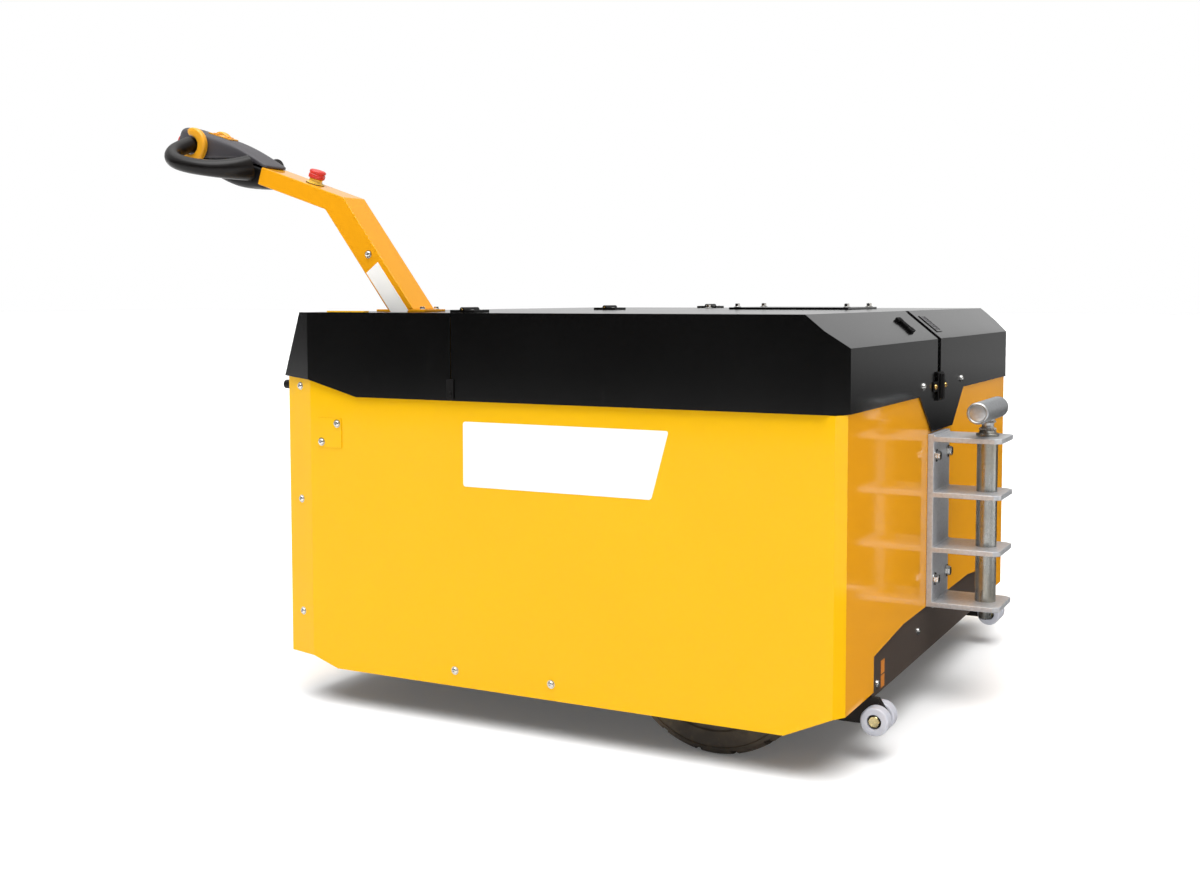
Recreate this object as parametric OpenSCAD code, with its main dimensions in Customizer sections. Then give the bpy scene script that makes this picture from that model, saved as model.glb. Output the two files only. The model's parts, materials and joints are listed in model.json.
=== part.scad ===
// Walk-behind electric tug: a low battery truck with a lifting lid, a pin hitch at the front
// and a steering tiller at the back. +X points to the hitch and +Z up. The origin is on the
// ground, under the middle of the whole machine from the tiller's nose to the hitch.

/* [Covers] */
// Length of lid and rear cover together
cover_l = 1159; // [1120:1:1220]
// Width over the cover skirts
cover_w = 1304; // [1270:1:1360]
// Height of the flat top above the ground
cover_top = 778; // [765:1:800]
// Thickness of the cover sheet
sheet_t = 3; // [2:0.5:4]
// Depth of the skirts below the flat top
skirt_h = 163; // [155:1:175]
// Length of the slope at the front of the lid, seen from above
bevel_run = 68; // [60:1:80]
// Drop of the slope at the front of the lid
bevel_drop = 55.3; // [48:0.1:62]
// Length of the front corner folds
nose_fold_run = 35; // [25:1:40]
// Depth of the front corner folds across the body
nose_fold_in = 30; // [22:1:34]
// Length of the rear corner folds
tail_fold_run = 71.5; // [60:0.5:85]
// Depth of the rear corner folds across the body
tail_fold_in = 17.5; // [12:0.5:24]
// Lean of the raked back, seen from above
rake_run = 47; // [35:1:60]
// Length of the rising stretch of the skirt's lower edge
sweep_run = 116; // [90:1:140]
// Rise of that stretch
sweep_rise = 31; // [20:1:38]
// Further rise along the rear corner fold
tail_rise = 6; // [3:1:10]
// Length of the rear cover
rear_cover_l = 405.5; // [395:0.5:420]
// Gap between lid and rear cover
split_gap = 2; // [1:0.5:3]
// Width of the lid's front tongue where it leaves the flange
tongue_top_w = 358; // [320:1:380]
// Width of the tongue at its lower edge
tongue_low_w = 168; // [150:1:200]
// Depth of the tongue below the flange
tongue_h = 74; // [60:1:80]
// Place of the slot, the latch and the hitch across the body
slot_y = -37; // [-45:1:-30]
// Width of the slot in the lid's front
slot_w = 22; // [16:1:26]

/* [Panels] */
// Side panel's face inside the cover's face
panel_in = 7; // [6:0.5:10]
// Gap between the front panel's face and the cover that laps it
lap_gap = 1; // [0.5:0.5:1.5]
// Thickness of the panel sheet
panel_t = 3; // [2:0.5:4]
// Height of the side panel's lower edge
panel_foot_z = 76; // [65:1:90]
// Height of its raised rear end
tail_foot_z = 96; // [92:1:110]
// Height of its raised front end
nose_foot_z = 114; // [113:1:125]
// Length of the slanted edge at the rear
tail_foot_run = 59; // [45:1:75]
// Length of the slanted edge at the front
nose_foot_run = 84.5; // [70:0.5:100]
// Length of the front corner fold of the side panel
panel_nose_run = 14; // [10:1:18]
// Depth of that fold across the body
panel_nose_in = 23.5; // [18:0.5:26]
// Height of the front panels' lower edge in the middle
arch_z = 195.6; // [185:0.2:205]
// Its height at the outer ends of the arch
arch_end_z = 178; // [168:1:184]
// Half width of the level part of the arch
arch_flat_y = 266; // [240:1:290]
// Side label plate: length, height and its slanted end
label_l = 418; // [380:1:440]
// Height of the side label plate
label_h = 121; // [100:1:130]
// Slant of the label's front end
label_slant = 33; // [20:1:45]

/* [Chassis] */
// Inner face of the chassis wall, from the cover's side
wall_in = 195; // [190:1:202]
// Thickness of the chassis wall and of the roller lugs
wall_t = 12; // [10:1:14]
// Lower edge of the chassis wall above the ground
wall_low = 60; // [55:1:66]
// Upper edge of the chassis wall
wall_top = 560; // [500:1:600]
// Room between the gearboxes and the floor's underside
floor_gap = 3; // [3:1:7]
// Thickness of the floor
floor_t = 6; // [4:1:10]
// Thickness of the end plates
end_t = 8; // [6:1:10]
// Lower edge of the end plates and of the bumper plate
end_low = 101; // [95:1:108]
// Thickness of the bumper plate
bumper_t = 8; // [6:1:9]
// Upper edge of the bumper plate
bumper_top = 330; // [300:1:350]
// Size of the square top rails
rail = 30; // [24:1:34]
// Thickness of the rubber seal on the rails
seal_t = 5; // [4:0.5:7]

/* [Wheels] */
// Radius of the drive tyres
tyre_r = 181; // [176:1:184]
// Width of the drive tyres
tyre_w = 100; // [90:1:104]
// Outer face of the drive tyres, from the cover's side
tyre_face_in = 67; // [62:1:72]
// Drive axle behind the cover's front face
drive_back = 257.5; // [240:0.5:279]
// Radius of the castor wheels
castor_r = 100; // [95:1:100]
// Width of the castor wheels
castor_w = 50; // [40:1:54]
// Castor pivot ahead of the cover's rear face
castor_ahead = 189.5; // [183:0.5:199]
// Castor pivot from the chassis wall
castor_in = 157; // [157:1:167]
// Distance of the castor axle behind its pivot
trail = 50; // [40:1:52]
// Radius of the front rollers
roller_r = 25; // [20:1:28]
// Width of one roller
roller_w = 26; // [20:1:28]
// Height of the roller axle
roller_z = 73; // [66:1:78]
// Roller axle ahead of the covers' front
roller_ahead = 7.5; // [4:0.5:12]

/* [Hitch] */
// Height of the hitch plate
hitch_h = 340; // [330:1:350]
// Lower edge of the hitch plate above the ground
hitch_low = 198; // [196:1:205]
// Width of the hitch plate and shelves
hitch_w = 130; // [120:1:140]
// Thickness of the hitch plate
hitch_t = 12; // [10:1:15]
// Distance from the hitch plate to the shelves' front edge
shelf_reach = 128.5; // [115:0.5:140]
// Thickness of a shelf
shelf_t = 10; // [8:1:12]
// Height of the top shelf's upper face above the ground
shelf_top = 533; // [525:1:535]
// Distance between shelves
shelf_pitch = 109; // [104:1:110]
// Radius of the hitch pin
pin_r = 20; // [16:0.5:22]
// Distance of the pin's axis behind the shelves' front edge
pin_back = 39; // [34:1:46]
// Radius of the T-handle's tube
tee_r = 21.5; // [18:0.5:24]
// Length of the T-handle
tee_l = 192; // [160:1:210]
// Height of the T-handle's axis above the top shelf
tee_up = 51; // [48:1:60]

/* [Tiller] */
// Tiller's middle from the cover's side
tiller_in = 132.5; // [132:0.5:137]
// Tiller's steering axis ahead of the cover's rear face
tiller_ahead = 225.5; // [218:0.5:229]
// Width of the tiller's box arm
arm_w = 72; // [64:1:76]
// Length of the arm's foot along the body
arm_foot = 64; // [56:1:70]
// Lean of the lower arm from upright
arm_lean = 37; // [33:1:40]
// Rise from the foot to the outer elbow
arm_rise = 224; // [200:1:240]
// Length of the upper arm along its top
upper_l = 220; // [200:1:240]
// Thickness of the upper arm
upper_t = 36.5; // [34:0.5:40]
// Slope of the upper arm
upper_slope = 18.3; // [15:0.1:22]
// Wall thickness of the arm
arm_wall = 3; // [2:0.5:4]
// Radius of the steering spindle
spindle_r = 20; // [16:0.5:24]
// Length of the head from the arm's end to its nose
head_l = 250; // [230:1:260]
// Height of the head above the arm's middle line
head_top = 46; // [42:1:52]
// Radius of the grip tube
grip_r = 16.5; // [14:0.5:17.5]
// Radius of the stop button
stop_r = 17; // [14:0.5:20]

/* [Hidden] */

$fn = 48;

// Fits: overrun of cuts, gap of moving faces, slack of a running bore
cut = 20;
gap = 0.3;
slack = 0.1;

// Body outline
front_x = cover_l / 2;
rear_x = -cover_l / 2;
side_y = cover_w / 2;
bevel_x = front_x - bevel_run;
bevel_z = cover_top - bevel_drop;
skirt_z = cover_top - skirt_h;
nose_x = front_x - nose_fold_run;
nose_y = side_y - nose_fold_in;
tail_x = rear_x + tail_fold_run;
tail_y = side_y - tail_fold_in;
tail_z = skirt_z + sweep_rise;
rake_z = tail_z + tail_rise;
rake_x = rear_x + rake_run;
split_x = rear_x + rear_cover_l;
bevel_tilt = atan(bevel_drop / bevel_run);

// Panels
lap = sheet_t + lap_gap;
panel_x = front_x - lap;
panel_y = side_y - panel_in;
panel_nose_x = panel_x - panel_nose_run;
panel_nose_y = panel_y - panel_nose_in;
panel_tail_y = panel_y - tail_fold_in;
panel_top = cover_top - sheet_t - seal_t;
panel_gap = 1;
arch_step = 1;

// Chassis
wall_y = side_y - wall_in;
wall_out = wall_y + wall_t;
bumper_back = 1.5;
end_x = panel_x - panel_t - bumper_back - bumper_t;
rib_t = 6;
rib_low = 400;
rail_in = panel_y - panel_t - rail;
rail_front = bevel_x - 2 * sheet_t;
rail_rear = tail_x;
rail_low = panel_top - rail;
shelf_plate_t = 6;
shelf_plate_z = 694;

// Bolts
head_r = 6.5;
head_h = 4;
washer_r = 8;
washer_t = 1.2;
big_head_r = 9.5;
big_head_h = 7.5;
big_washer_r = 13;
big_washer_t = 2.5;
shank_r = 6;

// Hinges of the lid
hinge_in = 67;
hinge_y = side_y - hinge_in;
leaf_w = 54;
leaf_l = 26.7;
leaf_t = 5;
knuckle_r = 5;
knuckle_w = 18;
hinge_pin_r = 2.5;
hinge_z = cover_top + knuckle_r + gap;

// Latch, knob and marks on the lid
latch_z = 629;
latch_w = 42;
latch_h = 57;
latch_t = 5;
lug_w = 96;
lug_h = 20;
lug_bolt_y = 39;
latch_bore_r = 8;
paddle_w = 24;
paddle_h = 50;
paddle_t = 6;
cam_l = 34;
cam_w = 16;
cam_t = 4;
notch_w = 66;
notch_z = 570;
knob_y = 173;
knob_l = 54;
knob_w = 33;
knob_bar = 14;
knob_waist = 15;
knob_t = 8;
knob_stem_r = 6;
indicator_y = 22;
indicator_l = 50;
indicator_w = 40;
indicator_t = 1.5;
indicator_rim = 4;
trim_w = 80;
trim_t = 1;
backing_t = 2;
backing_w = 50;
lid_bolt_y = 156;
lid_bolt_z = 634;
plate_x = 53;
plate_l = 280;
plate_y = 152;
plate_w = 222;
plate_t = 5;
plate_bolt_in = 11;
plate_bolt_back = 26;
lone_bolt_x = 22;
lone_bolt_in = 79;
lone_bolt_y = side_y - lone_bolt_in;

// Marks on the rear cover and sides
clip_w = 15;
clip_h = 37;
clip_t = 3;
clip_rivet_r = 4;
clip_head_t = 2;
clip_up = 13;
pad_l = 88;
pad_w = 18;
pad_t = 3;
pad_ahead = 161.5;
pad_x = -rear_x - pad_ahead;
service_w = 58;
service_t = 2;
service_ahead = 118.5;
service_x = -rear_x - service_ahead;
service_z = 543;
service_bolt_x = 19;
service_bolt_z = 18.5;
label_x = -152;
label_top = 577;
label_t = 1;
strip_label_in = 42;
strip_label_y = wall_y - strip_label_in;
strip_label_w = 28;
strip_label_h = 54;
strip_label_z = 110;
strip_bolt_x = 36.5;
strip_bolt_zs = [632, 407, 181];
foot_bolt_xs = [-174, 33];
foot_bolt_z = 106;
bumper_bolt_y = 145;
bumper_bolt_z = 156;
bumper_end_bolt_in = 10;
bumper_end_bolt_y = wall_y - bumper_end_bolt_in;
bumper_end_bolt_z = 127;
switch_in = 52;
switch_y = side_y - switch_in;
switch_z = 632;
switch_r = 9;
switch_l = 30;
switch_stem_r = 5;

// Hitch
hitch_x = panel_x;
hitch_front = hitch_x + hitch_t + shelf_reach;
pin_x = hitch_front - pin_back;
pin_low = 161;
shelf_corner = 12;
shelf_count = 4;
hitch_bolt_y = 48;
hitch_bolt_z = 122.5;
hitch_mid_z = 372.5;
collar_r = 27;
collar_h = 12;
tee_z = shelf_top + tee_up;
neck_r = 14;
tee_chamfer = 4;

// Rollers
roller_x = front_x + roller_ahead;
roller_bolt_r = 6;
roller_head_r = 11;
roller_head_h = 7;
recess_r = 12.5;
recess_deep = 8;
lug_r = 17;
roller_y = wall_y + wall_t / 2;

// Drive
drive_z = tyre_r;
drive_x = front_x - drive_back;
tyre_face_y = side_y - tyre_face_in;
tyre_in = 59;
tyre_round = 16;
rim_r = tyre_r - tyre_in;
rim_t = 8;
web_t = 12;
hub_r = 45;
stub_r = 17.5;
gearbox_r = 56;
gearbox_l = 60;
motor_r = 52;
motor_l = 225;
wall_hole_r = 30;

// Castors, and the floor that clears them and the gearboxes
castor_y = wall_y - castor_in;
castor_plate_t = 8;
castor_plate_l = 140;
castor_plate_w = 110;
race_r = 45;
race_h = 10;
king_r = 12;
king_head_r = 20;
king_head_h = 8;
fork_t = 6;
fork_gap = 4;
fork_head_t = 10;
fork_room = 11;
axle_r = 8;
axle_head_r = 13;
axle_head_h = 6;
floor_z = max(drive_z + gearbox_r + floor_gap,
    2 * castor_r + fork_room + fork_head_t + race_h + castor_plate_t);
fork_z = floor_z - castor_plate_t - race_h;
hub_gap = 1;

// Inside the tub, between its end plates
tub_x = end_x - end_t;
battery_w = 172;
battery_h = 215;
battery_gap = 14;
battery_front = 31;
battery_rear = 90;
terminal_r = 9;
terminal_h = 14;
terminal_in = 30;
clamp_w = 30;
clamp_t = 8;
controller_l = 260;
controller_w = 200;
controller_h = 90;
controller_rear = 55;
controller_side = 197;
controller_x = -tub_x + controller_rear;
controller_y = -wall_y + controller_side;
battery_x = controller_x + controller_l + battery_rear;
battery_l = (tub_x - battery_front - battery_x - battery_gap) / 2;
fin_t = 4;
fin_h = 22;
fin_count = 12;
charger_l = 220;
charger_h = 120;
charger_x = controller_x;
charger_room = 100;
charger_side = 167;
charger_y = controller_y + controller_w + charger_room;
charger_w = wall_y - charger_side - charger_y;
socket_side = 217;
socket_y = wall_y - socket_side;
socket_z = 450;
socket_r = 26;
socket_l = 26;
socket_t = 6;

// Tiller
tiller_x = rear_x + tiller_ahead;
tiller_out = side_y - tiller_in;
foot_t = 5;
foot_l = 116;
foot_bolt_fwd = 44;
foot_bolt_y = 24;
foot_z = cover_top + gap + foot_t;
bearing_r = 42;
bearing_low = shelf_plate_z + shelf_plate_t;
arm_side_bolt_x = 76;
arm_side_bolt_z = 114;
lean_dir = [-sin(arm_lean), cos(arm_lean)];
upper_dir = [-cos(upper_slope), sin(upper_slope)];
upper_up = [sin(upper_slope), cos(upper_slope)];
foot_rear = [tiller_x - arm_foot / 2, foot_z];
foot_front = [tiller_x + arm_foot / 2, foot_z];
elbow_out = foot_front + lean_dir * arm_rise / cos(arm_lean);
arm_end_top = elbow_out + upper_dir * upper_l;
arm_end_low = arm_end_top - upper_up * upper_t;
elbow_in = foot_rear
    + lean_dir * (((arm_end_low - foot_rear) * upper_up) / (lean_dir * upper_up));
arm_end = (arm_end_top + arm_end_low) / 2;
arm_half = upper_t / 2;

// Stop button, standing on the upper arm
stop_x = 116;
stop_disc_r = 18.5;
stop_disc_t = 3;
stop_collar_r = 14;
stop_collar_h = 11;
stop_stem_r = 6;
stop_travel = 4;
stop_cap_h = 14;

// Head: x runs from the arm's end to the nose, z up from the arm's middle line
head_half = 34;
head_nose_half = 24;
hub_back = 60;
hub_x = head_l - hub_back;
hub_z = 11;
hub_half = 55;
corner_r = 45;
corner_y = 76;
sweep_r = 122;
sweep_deg = 72;
droop = 12;
wing_r = 36;
wing_in = 21;
wing_w = 15;
wing_open = 110;
belly_r = 14;
belly_t = 10;
belly_z = 8;
belly_travel = 5;
belly_stem_r = 5;
rocker_ahead = 40;
rocker_x = hub_x - rocker_ahead;
rocker_l = 62;
rocker_w = 26;
rocker_t = 6;
rocker_r = 4;
lip = 12;
upper_shares = [[1, 0.82], [0.965, 0.9], [0.89, 0.93], [0.8, 0.94], [0.44, 1], [0.16, 0.82]];
split_shares = [[0.03, 0.52], [0.1, 0.48], [0.28, 0.38], [0.5, 0], [0.7, -0.3]];
lower_shares = [[0.6, -0.62], [0.42, -0.86], [0.2, -0.9]];
nose_low_share = -0.16;

// The head's nose sets the rear end of the machine
rear_most = arm_end[0] - (head_l + belly_t) * cos(upper_slope)
    - (belly_r - belly_z) * sin(upper_slope);
frame_x = -(hitch_front + rear_most) / 2;

function unit(v) = v / norm(v);
function left_of(v) = [-v[1], v[0]];
// Points of a counter-clockwise outline moved inwards by t
function shrink(points, t) = [
    for (i = [0 : len(points) - 1])
        let (
            before = points[(i + len(points) - 1) % len(points)],
            here = points[i],
            after = points[(i + 1) % len(points)],
            n1 = left_of(unit(here - before)),
            n2 = left_of(unit(after - here))
        )
        here + t * (n1 + n2) / (1 + n1 * n2)
];

module in_frame() { translate([frame_x, 0, 0]) children(); }

module both() {
    children();
    mirror([0, 1, 0]) children();
}

// Box between two corners
module span(low, high) { translate(low) cube(high - low); }

// Plate with an outline in X and Z, from y onwards
module plate_xz(points, y, t) {
    translate([0, y + t, 0]) rotate([90, 0, 0]) linear_extrude(t) polygon(points);
}

// Plate with an outline in Y and Z, from x onwards
module plate_yz(points, x, t) {
    translate([x, 0, 0]) rotate([90, 0, 90]) linear_extrude(t) polygon(points);
}

// Round bar along Y from y to y + l
module bar_y(x, y, z, r, l) { translate([x, y + l, z]) rotate([90, 0, 0]) cylinder(r = r, h = l); }

// Round bar along X from x to x + l
module bar_x(x, y, z, r, l) { translate([x, y, z]) rotate([0, 90, 0]) cylinder(r = r, h = l); }

// Domed bolt with its washer, standing on the plane z = 0
module dome_bolt() {
    cylinder(r = washer_r, h = washer_t);
    cylinder(r = head_r, h = washer_t + head_h / 2);
    cylinder(r = head_r / 2, h = washer_t + head_h);
}

// Hex bolt with its washer, standing on the plane z = 0
module hex_bolt(r = head_r, h = head_h) {
    cylinder(r = r + washer_t, h = washer_t);
    cylinder(r = r, h = washer_t + h, $fn = 6);
}

module bolt_on_side(x, z, y = panel_y) { translate([x, y, z]) rotate([-90, 0, 0]) dome_bolt(); }
module bolt_on_front(y, z, x) { translate([x, y, z]) rotate([0, 90, 0]) dome_bolt(); }

function hood_side(low) = [[rear_x, low], [front_x, low], [front_x, bevel_z],
    [bevel_x, cover_top], [rake_x, cover_top], [rear_x, rake_z]];

function hood_plan() = [[tail_x, -side_y], [nose_x, -side_y], [front_x, -nose_y],
    [front_x, nose_y], [nose_x, side_y], [tail_x, side_y], [rear_x, tail_y], [rear_x, -tail_y]];

function panel_plan() = [[tail_x, -panel_y], [panel_nose_x, -panel_y], [panel_x, -panel_nose_y],
    [panel_x, panel_nose_y], [panel_nose_x, panel_y], [tail_x, panel_y],
    [-panel_x, panel_tail_y], [-panel_x, -panel_tail_y]];

// The covers' outer body, moved inwards by inset and going down to low
module hood_block(inset, low) {
    intersection() {
        rotate([90, 0, 0]) linear_extrude(cover_w + 2 * cut, center = true)
            polygon(shrink(hood_side(low), inset));
        translate([0, 0, low - cut]) linear_extrude(cover_top - low + 2 * cut)
            polygon(shrink(hood_plan(), inset));
    }
}

// Everything above the lower edge of the skirts
module above_skirt() {
    plate_xz([[rear_x - cut, rake_z], [rear_x, rake_z], [tail_x, tail_z],
        [tail_x + sweep_run, skirt_z], [front_x + cut, skirt_z],
        [front_x + cut, cover_top + cut], [rear_x - cut, cover_top + cut]],
        -side_y - cut, cover_w + 2 * cut);
}

module hood() {
    difference() {
        intersection() {
            hood_block(0, skirt_z - cut);
            above_skirt();
        }
        hood_block(sheet_t, skirt_z - 2 * cut);
    }
}

// Places things on the lid's front slope: x runs down the slope, z stands on it
module on_bevel() {
    translate([front_x - bevel_run / 2, 0, cover_top - bevel_drop / 2])
        rotate([0, bevel_tilt, 0]) children();
}

// Band of the lid's front between two insets and two sides
module front_band(out, inner, y0, y1, low) {
    intersection() {
        difference() {
            rotate([90, 0, 0]) linear_extrude(cover_w, center = true)
                polygon(shrink(hood_side(low), out));
            rotate([90, 0, 0]) linear_extrude(cover_w + 2 * cut, center = true)
                polygon(shrink(hood_side(low - 2 * cut), inner));
        }
        span([bevel_x, y0, low], [front_x + cut, y1, cover_top]);
    }
}

module slot_cut() {
    reach = bevel_x + slot_w / 2;
    span([reach, slot_y - slot_w / 2, latch_z], [front_x + cut, slot_y + slot_w / 2, cover_top + cut]);
    translate([reach, slot_y, latch_z]) cylinder(r = slot_w / 2, h = cover_top);
}

module clip_notch(r) {
    both() bar_y(split_x, side_y - sheet_t - cut, skirt_z + clip_up, r, sheet_t + 2 * cut);
}

module panel_ring() {
    intersection() {
        difference() {
            linear_extrude(panel_top) polygon(panel_plan());
            translate([0, 0, -cut]) linear_extrude(panel_top + 2 * cut)
                polygon(shrink(panel_plan(), panel_t));
        }
        union() {
            hood_block(lap, -cut);
            span([rear_x - cut, -side_y, 0], [front_x + cut, side_y, skirt_z - lap_gap]);
        }
    }
}

module side_panel() {
    intersection() {
        panel_ring();
        plate_xz([[rear_x, tail_foot_z], [tail_x, tail_foot_z], [tail_x + tail_foot_run, panel_foot_z],
            [panel_nose_x - nose_foot_run, panel_foot_z], [panel_nose_x, nose_foot_z],
            [front_x, nose_foot_z], [front_x, cover_top], [rear_x, cover_top]],
            panel_nose_y, side_y - panel_nose_y);
    }
}

module hitch_bolt_places() {
    for (y = [-hitch_bolt_y, hitch_bolt_y], z = [-hitch_bolt_z, hitch_bolt_z])
        translate([0, slot_y + y, hitch_mid_z + z]) children();
}

module hitch_bolt_holes() {
    hitch_bolt_places() bar_x(end_x - end_t - cut, 0, 0, shank_r + slack, hitch_t + 4 * cut);
}

module chassis() {
    color("dimgray") in_frame() difference() {
        union() {
            both() span([-end_x, wall_y, wall_low], [end_x, wall_out, wall_top]);
            span([-end_x, -wall_y, floor_z], [end_x, wall_y, floor_z + floor_t]);
            for (x = [-end_x, end_x - end_t])
                span([x, -wall_y, end_low], [x + end_t, wall_y, wall_top]);
            both() for (x = [end_x, -panel_x + panel_t])
                span([x, wall_y, nose_foot_z], [x + bumper_back + bumper_t, wall_out, wall_top]);
            span([end_x, slot_y - hitch_w / 2, bumper_top],
                [end_x + bumper_t + bumper_back, slot_y + hitch_w / 2, hitch_low + hitch_h]);
            both() for (x = [rail_rear, tiller_x - bearing_r - 2 * rib_t - cut,
                    split_x - rail / 2, rail_front - rail])
                span([x, wall_y, rib_low], [x + rib_t, panel_y - panel_t, rail_low]);
            both() span([rail_rear, rail_in, rail_low], [rail_front, rail_in + rail, panel_top]);
            for (x = [rail_rear, split_x - rail / 2, rail_front - rail])
                span([x, -rail_in, rail_low], [x + rail, rail_in, panel_top]);
            both() span([rail_rear, wall_out, shelf_plate_z],
                [split_x - rail / 2, panel_y - panel_t, shelf_plate_z + shelf_plate_t]);
        }
        hitch_bolt_holes();
        both() bar_y(drive_x, wall_y - cut, drive_z, wall_hole_r, wall_t + 2 * cut);
    }
}

module side_panel_right() { color("gold") in_frame() mirror([0, 1, 0]) side_panel(); }
module side_panel_left() { color("gold") in_frame() side_panel(); }

module front_panels() {
    edge = panel_nose_y - panel_gap;
    color("orange") in_frame() difference() {
        intersection() {
            panel_ring();
            span([front_x / 2, -edge, 0], [front_x, edge, cover_top]);
            plate_yz([[-edge, nose_foot_z], [-wall_y - arch_step, nose_foot_z],
                [-wall_y - arch_step, arch_end_z], [-arch_flat_y, arch_z], [arch_flat_y, arch_z],
                [wall_y + arch_step, arch_end_z], [wall_y + arch_step, nose_foot_z],
                [edge, nose_foot_z], [edge, cover_top], [-edge, cover_top]], 0, front_x);
        }
        span([front_x / 2, slot_y - panel_gap / 2, 0], [front_x, slot_y + panel_gap / 2, cover_top]);
        span([front_x / 2, slot_y - notch_w / 2, notch_z], [front_x, slot_y + notch_w / 2, cover_top]);
        hitch_bolt_holes();
    }
}

module rear_panel() {
    edge = panel_nose_y - panel_gap;
    color("gold") in_frame() difference() {
        intersection() {
            panel_ring();
            span([rear_x, -edge, tail_foot_z], [rear_x / 2, edge, rake_z - 2 * lap_gap]);
        }
        bar_x(-panel_x - cut, socket_y, socket_z, socket_r + slack, panel_t + 2 * cut);
        bar_x(-panel_x - cut, -switch_y, switch_z, switch_stem_r + slack / 2, panel_t + 2 * cut);
    }
}

module bumper_plate() {
    half = wall_y - arch_step;
    color([0.05, 0.05, 0.05]) in_frame() difference() {
        span([end_x, -half, end_low], [end_x + bumper_t, half, bumper_top]);
        hitch_bolt_holes();
    }
}

module body_bolts() {
    color("silver") in_frame() both() {
        for (z = strip_bolt_zs) translate([-panel_x + strip_bolt_x, panel_y, z]) {
            turn = atan(tail_fold_in / (panel_x + tail_x));
            translate([0, -(panel_x + tail_x - strip_bolt_x) * tan(turn), 0])
                rotate([0, 0, turn]) rotate([-90, 0, 0]) dome_bolt();
        }
        for (x = foot_bolt_xs) bolt_on_side(x, foot_bolt_z);
        for (k = [-1, 1])
            bolt_on_side(-service_x + k * service_bolt_x, service_z + k * service_bolt_z,
                panel_y + service_t);
        bolt_on_front(bumper_bolt_y, bumper_bolt_z, end_x + bumper_t);
        bolt_on_front(bumper_end_bolt_y, bumper_end_bolt_z, end_x + bumper_t);
    }
}

module label_plates() {
    color("white") in_frame() both() {
        plate_xz([[label_x, label_top - label_h], [label_x + label_l - label_slant, label_top - label_h],
            [label_x + label_l, label_top], [label_x, label_top]], panel_y, label_t);
        span([end_x + bumper_t, strip_label_y - strip_label_w / 2, strip_label_z],
            [end_x + bumper_t + label_t, strip_label_y + strip_label_w / 2,
                strip_label_z + strip_label_h]);
    }
}

module service_plates() {
    color("gold") in_frame() {
        both() translate([-service_x, panel_y, service_z]) rotate([-90, 0, 0])
            linear_extrude(service_t) square(service_w, center = true);
        span([-pad_x - pad_l / 2, -side_y + sheet_t, cover_top],
            [-pad_x + pad_l / 2, -side_y + sheet_t + pad_w, cover_top + pad_t]);
    }
}

module rear_cover() {
    color([0.06, 0.06, 0.06]) in_frame() difference() {
        intersection() {
            hood();
            span([rear_x - cut, -side_y, 0], [split_x - split_gap / 2, side_y, cover_top]);
        }
        translate([tiller_x, -tiller_out, cover_top - cut]) cylinder(r = spindle_r + cut / 4, h = 2 * cut);
        clip_notch(clip_rivet_r + slack);
    }
}

module cover_seal() {
    low = panel_top;
    high = cover_top - sheet_t;
    color([0.1, 0.1, 0.1]) in_frame() {
        both() span([rail_rear, rail_in, low], [split_x - split_gap, rail_in + rail, high]);
        span([rail_rear, -rail_in, low], [rail_rear + rail, rail_in, high]);
        both() span([split_x + split_gap, rail_in, low], [rail_front, rail_in + rail, high - gap]);
        span([rail_front - rail, -rail_in, low], [rail_front, rail_in, high - gap]);
    }
}

module leaf_places() {
    for (y = [-hinge_y, 0, hinge_y]) translate([split_x, y, 0]) children();
}

module hinge_fixed_leaves() {
    color([0.06, 0.06, 0.06]) in_frame() leaf_places() difference() {
        union() {
            span([-leaf_l, -leaf_w / 2, cover_top], [-split_gap / 2, leaf_w / 2, cover_top + leaf_t]);
            for (y = [-leaf_w / 2, knuckle_w / 2]) bar_y(0, y, hinge_z, knuckle_r, (leaf_w - knuckle_w) / 2);
        }
        span([-knuckle_r - gap, -knuckle_w / 2 - gap, cover_top - cut],
            [knuckle_r, knuckle_w / 2 + gap, cover_top + cut]);
        bar_y(0, -leaf_w, hinge_z, hinge_pin_r, 2 * leaf_w);
    }
}

module hinge_moving_leaves() {
    side = knuckle_r + 2 * gap;
    color([0.06, 0.06, 0.06]) in_frame() leaf_places() difference() {
        union() {
            span([split_gap / 2, -knuckle_w / 2, cover_top], [side, knuckle_w / 2, cover_top + leaf_t]);
            span([side, -leaf_w / 2, cover_top], [leaf_l, leaf_w / 2, cover_top + leaf_t]);
            bar_y(0, -knuckle_w / 2, hinge_z, knuckle_r, knuckle_w);
        }
        bar_y(0, -leaf_w, hinge_z, hinge_pin_r + slack / 2, 2 * leaf_w);
    }
}

module hinge_pins() {
    color("goldenrod") in_frame() leaf_places()
        bar_y(0, -leaf_w / 2 - sheet_t / 2, hinge_z, hinge_pin_r, leaf_w + sheet_t);
}

module side_clips() {
    z = skirt_z + clip_up;
    inner = panel_y;
    color([0.1, 0.1, 0.1]) in_frame() both() {
        translate([split_x - clip_w / 2, side_y + gap, skirt_z + sheet_t])
            cube([clip_w, clip_t, clip_h]);
        bar_y(split_x, inner, z, clip_rivet_r - gap, side_y + gap - inner);
        bar_y(split_x, side_y + gap + clip_t, z, clip_rivet_r, clip_head_t);
    }
}

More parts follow.
